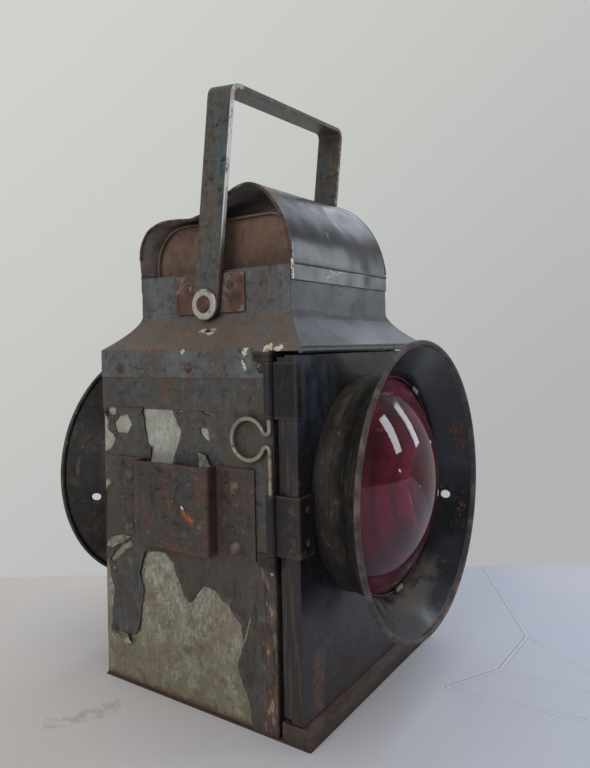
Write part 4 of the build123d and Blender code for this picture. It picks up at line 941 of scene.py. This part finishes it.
# %% Left wall paint
left_sheet = [(-66.4, 1.4), (88.8, 1.4), (88.8, 199.0), (-66.4, 199.0)]
left_holes = [
    [(45.8, 200), (18.7, 200), (16.3, 192.7), (9.7, 186), (10.4, 178.1), (14.2, 171.3), (18.4, 159.7),
     (41.2, 159.7), (37.5, 171.1), (42.9, 173.2), (44.8, 184.7), (46.6, 194.4)],
    [(76.9, 187.2), (72.7, 191.9), (63.8, 192.8), (58.6, 186), (63.4, 179.8), (75.3, 179.1)],
    [(84.5, 198), (74.1, 198), (75, 193.3), (78.7, 191.7), (83.3, 193)],
    [(92, 196.7), (87.8, 195.9), (84.2, 186.8), (84.3, 181.8), (78.3, 178), (77.2, 174), (80.1, 168.7),
     (87.8, 163.7), (92, 163.9)],
    [(-7.6, 187.3), (-12.5, 188.3), (-14.8, 184.1), (-16.5, 179.7), (-13.4, 177.7), (-8.1, 181.9)],
    [(13.5, 195.6), (10.9, 199.5), (-0.5, 199.5), (5.9, 196.4)],
    [(-8.5, 199.5), (-12.7, 199.5), (-16.9, 195), (-11.5, 196.2)],
    [(92, 144.2), (83.8, 144.6), (82.6, 141.2), (86.2, 136.8), (92, 137.6)],
    [(83.9, 86.4), (73.2, 97), (60.1, 104), (59.6, 98.6), (82.4, 83.7)],
    [(45.7, 98), (38.2, 99), (26.9, 99), (19.2, 93.6), (16.2, 87.2), (10.2, 72.9), (4.8, 69.9), (2.3, 71.2),
     (-7.2, 82.4), (-15.4, 81.7), (-22.8, 78.4), (-30.1, 73.8), (-34.4, 67.8), (-41, 63.3), (-40.2, 53.8),
     (-36.9, 36), (-40, 25.8), (-45.1, 17.1), (-46.4, 6.6), (-50, -2), (93, -2), (93, 88), (88.5, 88),
     (85.4, 82), (84.2, 73.4), (79.8, 61.9), (82.7, 43.9), (83.7, 33.7), (76.7, 32.4), (69.2, 31.8),
     (59.6, 36.1), (54.7, 38.3), (52.3, 50.4), (49.1, 68.1), (52.2, 81.9)],
]


def on_left_wall(y, z, height):
    return Vector((-case_half - height, y, z))


left_paint = paint_skin("left_wall_paint", left_sheet, left_holes, [], on_left_wall, case_paint)

# %% [markdown]
# ### The back and the right wall
# The picture doesn't show these two, so they wear like the wall that it does show: a few torn
# places, mostly low down and near the edges. The back wall's skin is cut round for the collar.

# %% Back and right wall paint
def ring(radius, centre, count):
    """A circle on a wall, in millimetres."""
    angles = [math.tau * step / count for step in range(count)]
    return [(centre[0] + radius * math.cos(a), centre[1] + radius * math.sin(a)) for a in angles]


def on_back_wall(x, z, height):
    return Vector((x, case_half + height, z))


def on_right_wall(y, z, height):
    return Vector((case_half + height, y, z))


back_sheet = [(-88.8, 1.4), (88.8, 1.4), (88.8, 199.0), (-88.8, 199.0)]
back_holes = [
    [(-92, 30), (-70, 34), (-62, 22), (-66, 9), (-58, -3), (-92, -3)],
    [(60, 44), (76, 50), (83, 38), (80, 22), (70, 18), (62, 29)],
    [(-84, 196), (-70, 199.5), (-62, 199.5), (-68, 188), (-80, 182)],
    [(10, 12), (28, 15), (38, 9), (30, 4), (14, 5)],
]
back_neat = [ring(75.1, (0, 143), 96)] + [ring(3.1, (18 * step, 24), 16) for step in range(-2, 3)]
back_paint = paint_skin("back_wall_paint", back_sheet, back_holes, back_neat, on_back_wall, case_paint)

right_holes = [
    [(92, -3), (92, 62), (78, 58), (70, 44), (52, 40), (40, 26), (22, 22), (10, 10), (2, -3)],
    [(-20, 150), (-4, 158), (6, 146), (2, 130), (-12, 124), (-22, 136)],
    [(48, 199.5), (62, 199.5), (66, 188), (56, 180), (46, 188)],
    [(-68, 96), (-58, 92), (-54, 78), (-60, 66), (-68, 68)],
]
right_paint = paint_skin("right_wall_paint", left_sheet, right_holes, [], on_right_wall, case_paint)

# %% [markdown]
# ## The canopy's wired ends
# The sheet is rolled over a wire at both ends, so that it doesn't cut and doesn't flap. The
# rim is swept along the end of the canopy itself: the outermost points are picked from its mesh
# at one angle after the other, going round the middle of the arch.

# %% Rims of the canopy
arch_middle = 296.3 * mm
rim_radius = 1.15 * mm


def tube(path, radius, sides=10):
    """Points and faces of a round rod along a path, with closed ends."""
    points, faces = [], []
    for index, spot in enumerate(path):
        along = (path[min(index + 1, len(path) - 1)] - path[max(index - 1, 0)]).normalized()
        first = along.orthogonal().normalized() if index == 0 else (first - along * first.dot(along)).normalized()
        second = along.cross(first)
        for step in range(sides):
            angle = math.tau * step / sides
            points.append(spot + radius * (first * math.cos(angle) + second * math.sin(angle)))
    for ring_start in range(0, len(points) - sides, sides):
        for step in range(sides):
            after = (step + 1) % sides
            faces.append((ring_start + step, ring_start + after, ring_start + sides + after, ring_start + sides + step))
    faces.append(tuple(range(sides)))
    faces.append(tuple(range(len(points) - sides, len(points))))
    return points, faces


canopy_spots = [vertex.co.copy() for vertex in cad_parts["canopy"].data.vertices]
rim_brown = rusty_metal("rim_brown", colour(56, 44, 38), colour(92, 74, 62), colour(132, 116, 102), seed=31.0,
                        pale_share=0.4, size=3.0)
for side, end in (("left", -1), ("right", 1)):
    edge_x = end * max(end * spot.x for spot in canopy_spots)
    farthest = {}
    for spot in canopy_spots:
        if abs(spot.x - edge_x) < 0.05 * mm:
            angle = math.degrees(math.atan2(spot.z - arch_middle, -spot.y))
            reach = math.hypot(spot.y, spot.z - arch_middle)
            sector = int(angle // 9)
            if 0 <= angle <= 180 and reach > farthest.get(sector, (0, 0))[1]:
                farthest[sector] = (angle, reach)
    known = np.array([farthest[sector] for sector in sorted(farthest)])
    angles = np.arange(known[0, 0], known[-1, 0], 2.0)
    reaches = np.interp(angles, known[:, 0], known[:, 1])
    for _ in range(3):
        reaches[1:-1] = (reaches[:-2] + reaches[1:-1] * 2 + reaches[2:]) / 4
    path = [Vector((edge_x, -(reach - 0.9 * mm) * math.cos(math.radians(angle)),
                    arch_middle + (reach - 0.9 * mm) * math.sin(math.radians(angle)))) for angle, reach in zip(angles, reaches)]
    rim_piece = make_piece(f"canopy_rim_{side}", *tube(path, rim_radius), rim_brown, "case", "rusty_steel")

# %% [markdown]
# ## Lifted flakes
# Where the skin let go, small scraps of it still hang on by one side. Each scrap is an outline
# on the wall, bent away from it towards one end, with a real thickness.

# %% Flakes on the left wall
flake_back = rusty_metal("flake_back", colour(92, 90, 80), colour(134, 134, 122), colour(168, 168, 156), seed=41.0,
                         pale_share=0.5, size=3.0)


def flake(name, outline, root, tip, lift):
    """A scrap of paint. It lies on the wall at its root and stands off by the lift at its tip."""
    run = Vector(tip) - Vector(root)
    corners = torn(outline, 5, 0.5 * mm)
    middle = sum(corners, Vector((0, 0))) / len(corners)
    rings = [[middle.lerp(corner, share) for corner in corners] for share in (0.25, 0.5, 0.75, 1.0)]
    spots = [middle] + [spot for loop in rings for spot in loop]
    count = len(corners)
    points = []
    for thick in (0.5, 0.1):
        for spot in spots:
            share = min(1.0, max(0.0, (spot / mm - Vector(root)).dot(run) / run.length_squared))
            points.append(on_left_wall(spot.x, spot.y, skin_thick + (thick + lift * share ** 1.6) * mm))
    sheet = [(0, 1 + i, 1 + (i + 1) % count) for i in range(count)]
    for loop in range(3):
        for i in range(count):
            a, b = 1 + loop * count + i, 1 + loop * count + (i + 1) % count
            sheet.append((a, a + count, b + count, b))
    total = len(spots)
    under = [tuple(reversed([i + total for i in face])) for face in sheet]
    outer = 1 + 3 * count
    edge = [(outer + i, outer + (i + 1) % count, total + outer + (i + 1) % count, total + outer + i) for i in range(count)]
    return make_piece(name, points, sheet + under + edge, flake_back, "case", "body_paint", smooth=False)


flake("flake_by_socket", [(-7, 171), (-13, 170), (-17, 161), (-14.5, 158.5), (-6, 160)], (-8, 160), (-14, 169), 2.2)
flake("flake_low_strip", [(86, 96), (82, 102), (70, 106), (61, 105.5), (70, 100), (80, 95)], (64, 105), (84, 97), 1.8)
flake("flake_under_rivet", [(76, 34), (66, 35.5), (60, 30.5), (68, 28), (74.5, 29.5)], (74, 35), (64, 29), 2.4)

# %% [markdown]
# ## The table and the wall behind
# The lamp stands on a pale cloth on a table that ends a hand's width behind it. The wall is a
# plain pale grey-green. It is only the world's colour, seen by camera, mirror and glass rays,
# while a separate level lights the lamp.

# %% Table top
table_back = 0.694
table_front = 1.5
table_half = 1.6
table_thick = 0.02
level_forward = Vector((forward.x, forward.y, 0)).normalized()


def table_corner(along, across, height):
    """A corner measured from below the camera, along and across its heading."""
    spot = Vector((camera_place.x, camera_place.y, 0)) + level_forward * along + level_right * across
    return (spot.x, spot.y, height)


corners = [(along, across) for along, across in ((-table_front, -table_half), (-table_front, table_half),
                                                 (table_back, table_half), (table_back, -table_half))]
table_points = [table_corner(*corner, height) for height in (0, -table_thick) for corner in corners]
table_faces = [(0, 1, 2, 3), (7, 6, 5, 4), (0, 4, 5, 1), (1, 5, 6, 2), (2, 6, 7, 3), (3, 7, 4, 0)]
table_mesh = bpy.data.meshes.new("table_top")
table_mesh.from_pydata(table_points, [], table_faces)
table = bpy.data.objects.new("table_top", table_mesh)
bpy.context.scene.collection.objects.link(table)

cloth = Finish("table_cloth")
thread = cloth.noise(0.9, detail=2, seed=1.0)
fold = cloth.noise(180, detail=2, rough=0.45, seed=4.0)
# Painted light: the cloth is warmer on the left and bluer on the right, standing for the warm fill and the bluish
# window light.
across = cloth.vector("DOT_PRODUCT", cloth.vector("SUBTRACT", cloth.place, camera_place), level_right, "Value")
cloth_base = cloth.blend(colour(214, 206, 196), colour(197, 201, 215), cloth.between(across, -0.20, 0.20))
cloth_base = cloth.blend(cloth_base, colour(214, 214, 218), cloth.times(cloth.between(fold, 0.45, 0.65), 0.4))
creases_and_highlights = 0.0
for start, end in (((283, -70), (130, -158)), ((130, -158), (70, -250)), ((130, -158), (64, -155)), ((64, -155), (22, -131)),
                   ((22, -131), (35, -300)), ((64, -155), (63, -260))):
    crease = cloth.stroke((*start, 0), (*end, 0), 3.0, 0.5, seed=start[0])
    creases_and_highlights = cloth.either(crease, creases_and_highlights)
# Painted highlights: the crease lines are laid on lighter than the cloth.
cloth_base = cloth.blend(cloth_base, colour(218, 221, 230), cloth.times(creases_and_highlights, 0.5))
smudge = cloth.times(cloth.stroke((-150, 66, 0), (-120, 52, 0), 16, 1.8, seed=9.0), cloth.between(cloth.noise(8, detail=5, seed=8.0), 0.4, 0.6))
cloth_base = cloth.blend(cloth_base, colour(150, 134, 116), cloth.times(smudge, 0.35))
cloth.bump(fold, 6.0)
cloth.bump(creases_and_highlights, 1.2)
cloth.bump(thread, 0.15)
table_mesh.materials.append(cloth.done(cloth_base, 0.85))

# %% [markdown]
# ## The light
# A room with windows on the right: two tall panes that show as blades of light on the glass,
# a wide soft source high on the right that puts the sheen on the canopy, and a weak warm fill
# from the left. Their levels are set so that a colour renders about as it is written.

# %% World and lamps
world = bpy.data.worlds.new("pale_room")
bpy.context.scene.world = world
world.use_nodes = True
sky = world.node_tree
sky.nodes.clear()
sky_out = sky.nodes.new("ShaderNodeOutputWorld")
light_path = sky.nodes.new("ShaderNodeLightPath")
room_light = sky.nodes.new("ShaderNodeBackground")
room_light.inputs["Color"].default_value = (0.93, 0.95, 1.0, 1)
room_light.inputs["Strength"].default_value = 0.5
wall_seen = sky.nodes.new("ShaderNodeBackground")
wall_direction = sky.nodes.new("ShaderNodeTexCoord")
wall_across = sky.nodes.new("ShaderNodeVectorMath")
wall_across.operation = "DOT_PRODUCT"
wall_across.inputs[1].default_value = (level_right.x, level_right.y, -1.2)
wall_shade = sky.nodes.new("ShaderNodeMapRange")
wall_shade.inputs["From Min"].default_value = -0.84
wall_shade.inputs["From Max"].default_value = 0.51
wall_mix = sky.nodes.new("ShaderNodeMix")
wall_mix.data_type = "RGBA"
wall_mix.inputs[6].default_value = colour(208, 211, 204)
wall_mix.inputs[7].default_value = colour(178, 179, 180)
sky.links.new(wall_direction.outputs["Generated"], wall_across.inputs[0])
sky.links.new(wall_across.outputs["Value"], wall_shade.inputs["Value"])
sky.links.new(wall_shade.outputs["Result"], wall_mix.inputs[0])
sky.links.new(wall_mix.outputs[2], wall_seen.inputs["Color"])
away = sky.nodes.new("ShaderNodeVectorMath")
away.operation = "DOT_PRODUCT"
away.inputs[1].default_value = tuple(level_forward)
dimming = sky.nodes.new("ShaderNodeMapRange")
dimming.interpolation_type = "SMOOTHSTEP"
dimming.inputs["From Min"].default_value = -0.3
dimming.inputs["From Max"].default_value = 0.9
dimming.inputs["To Min"].default_value = 0.25
sky.links.new(wall_direction.outputs["Generated"], away.inputs[0])
sky.links.new(away.outputs["Value"], dimming.inputs["Value"])
mirror_only = sky.nodes.new("ShaderNodeMath")
mirror_only.operation = "MULTIPLY"
sky.links.new(light_path.outputs["Is Glossy Ray"], mirror_only.inputs[0])
less = sky.nodes.new("ShaderNodeMath")
less.operation = "SUBTRACT"
less.inputs[0].default_value = 1.0
sky.links.new(dimming.outputs["Result"], less.inputs[1])
sky.links.new(less.outputs[0], mirror_only.inputs[1])
seen_strength = sky.nodes.new("ShaderNodeMath")
seen_strength.operation = "SUBTRACT"
seen_strength.inputs[0].default_value = 1.0
sky.links.new(mirror_only.outputs[0], seen_strength.inputs[1])
sky.links.new(seen_strength.outputs[0], wall_seen.inputs["Strength"])
seen = light_path.outputs["Is Camera Ray"]
for ray in ("Is Glossy Ray", "Is Transmission Ray"):
    join = sky.nodes.new("ShaderNodeMath")
    join.operation = "MAXIMUM"
    sky.links.new(seen, join.inputs[0])
    sky.links.new(light_path.outputs[ray], join.inputs[1])
    seen = join.outputs[0]
choose = sky.nodes.new("ShaderNodeMixShader")
sky.links.new(seen, choose.inputs[0])
sky.links.new(room_light.outputs[0], choose.inputs[1])
sky.links.new(wall_seen.outputs[0], choose.inputs[2])
sky.links.new(choose.outputs[0], sky_out.inputs[0])


def soft_lamp(name, direction, distance, width, height, power, tint):
    """A flat lamp that faces the middle of the signal lamp."""
    data = bpy.data.lights.new(name, "AREA")
    data.shape = "RECTANGLE"
    data.size = width
    data.size_y = height
    data.energy = power
    data.color = tint
    lamp = bpy.data.objects.new(name, data)
    bpy.context.scene.collection.objects.link(lamp)
    target = Vector((0, 0, 0.2))
    lamp.location = target + Vector(direction).normalized() * distance
    lamp.rotation_mode = "QUATERNION"
    lamp.rotation_quaternion = (lamp.location - target).to_track_quat("Z", "Y")
    return lamp


window_tint = (0.84, 0.92, 1.0)
soft_lamp("left_pane", (0.50, -0.81, 0.30), 1.7, 0.20, 0.62, 3.0, window_tint)
soft_lamp("right_pane", (0.80, -0.54, 0.24), 1.7, 0.20, 0.62, 2.0, window_tint)
soft_lamp("high_right", (0.84, 0.08, 0.56), 1.8, 1.0, 0.5, 2.2, (0.70, 0.81, 1.0))
soft_lamp("left_fill", (-0.9, -0.1, 0.35), 2.0, 1.2, 1.2, 13.5, (1.0, 0.98, 0.96))
soft_lamp("overhead", (0.2, -0.1, 1.0), 2.0, 1.6, 1.6, 8.0, (1.0, 1.0, 1.0))
bpy.context.scene.view_settings.view_transform = "Standard"
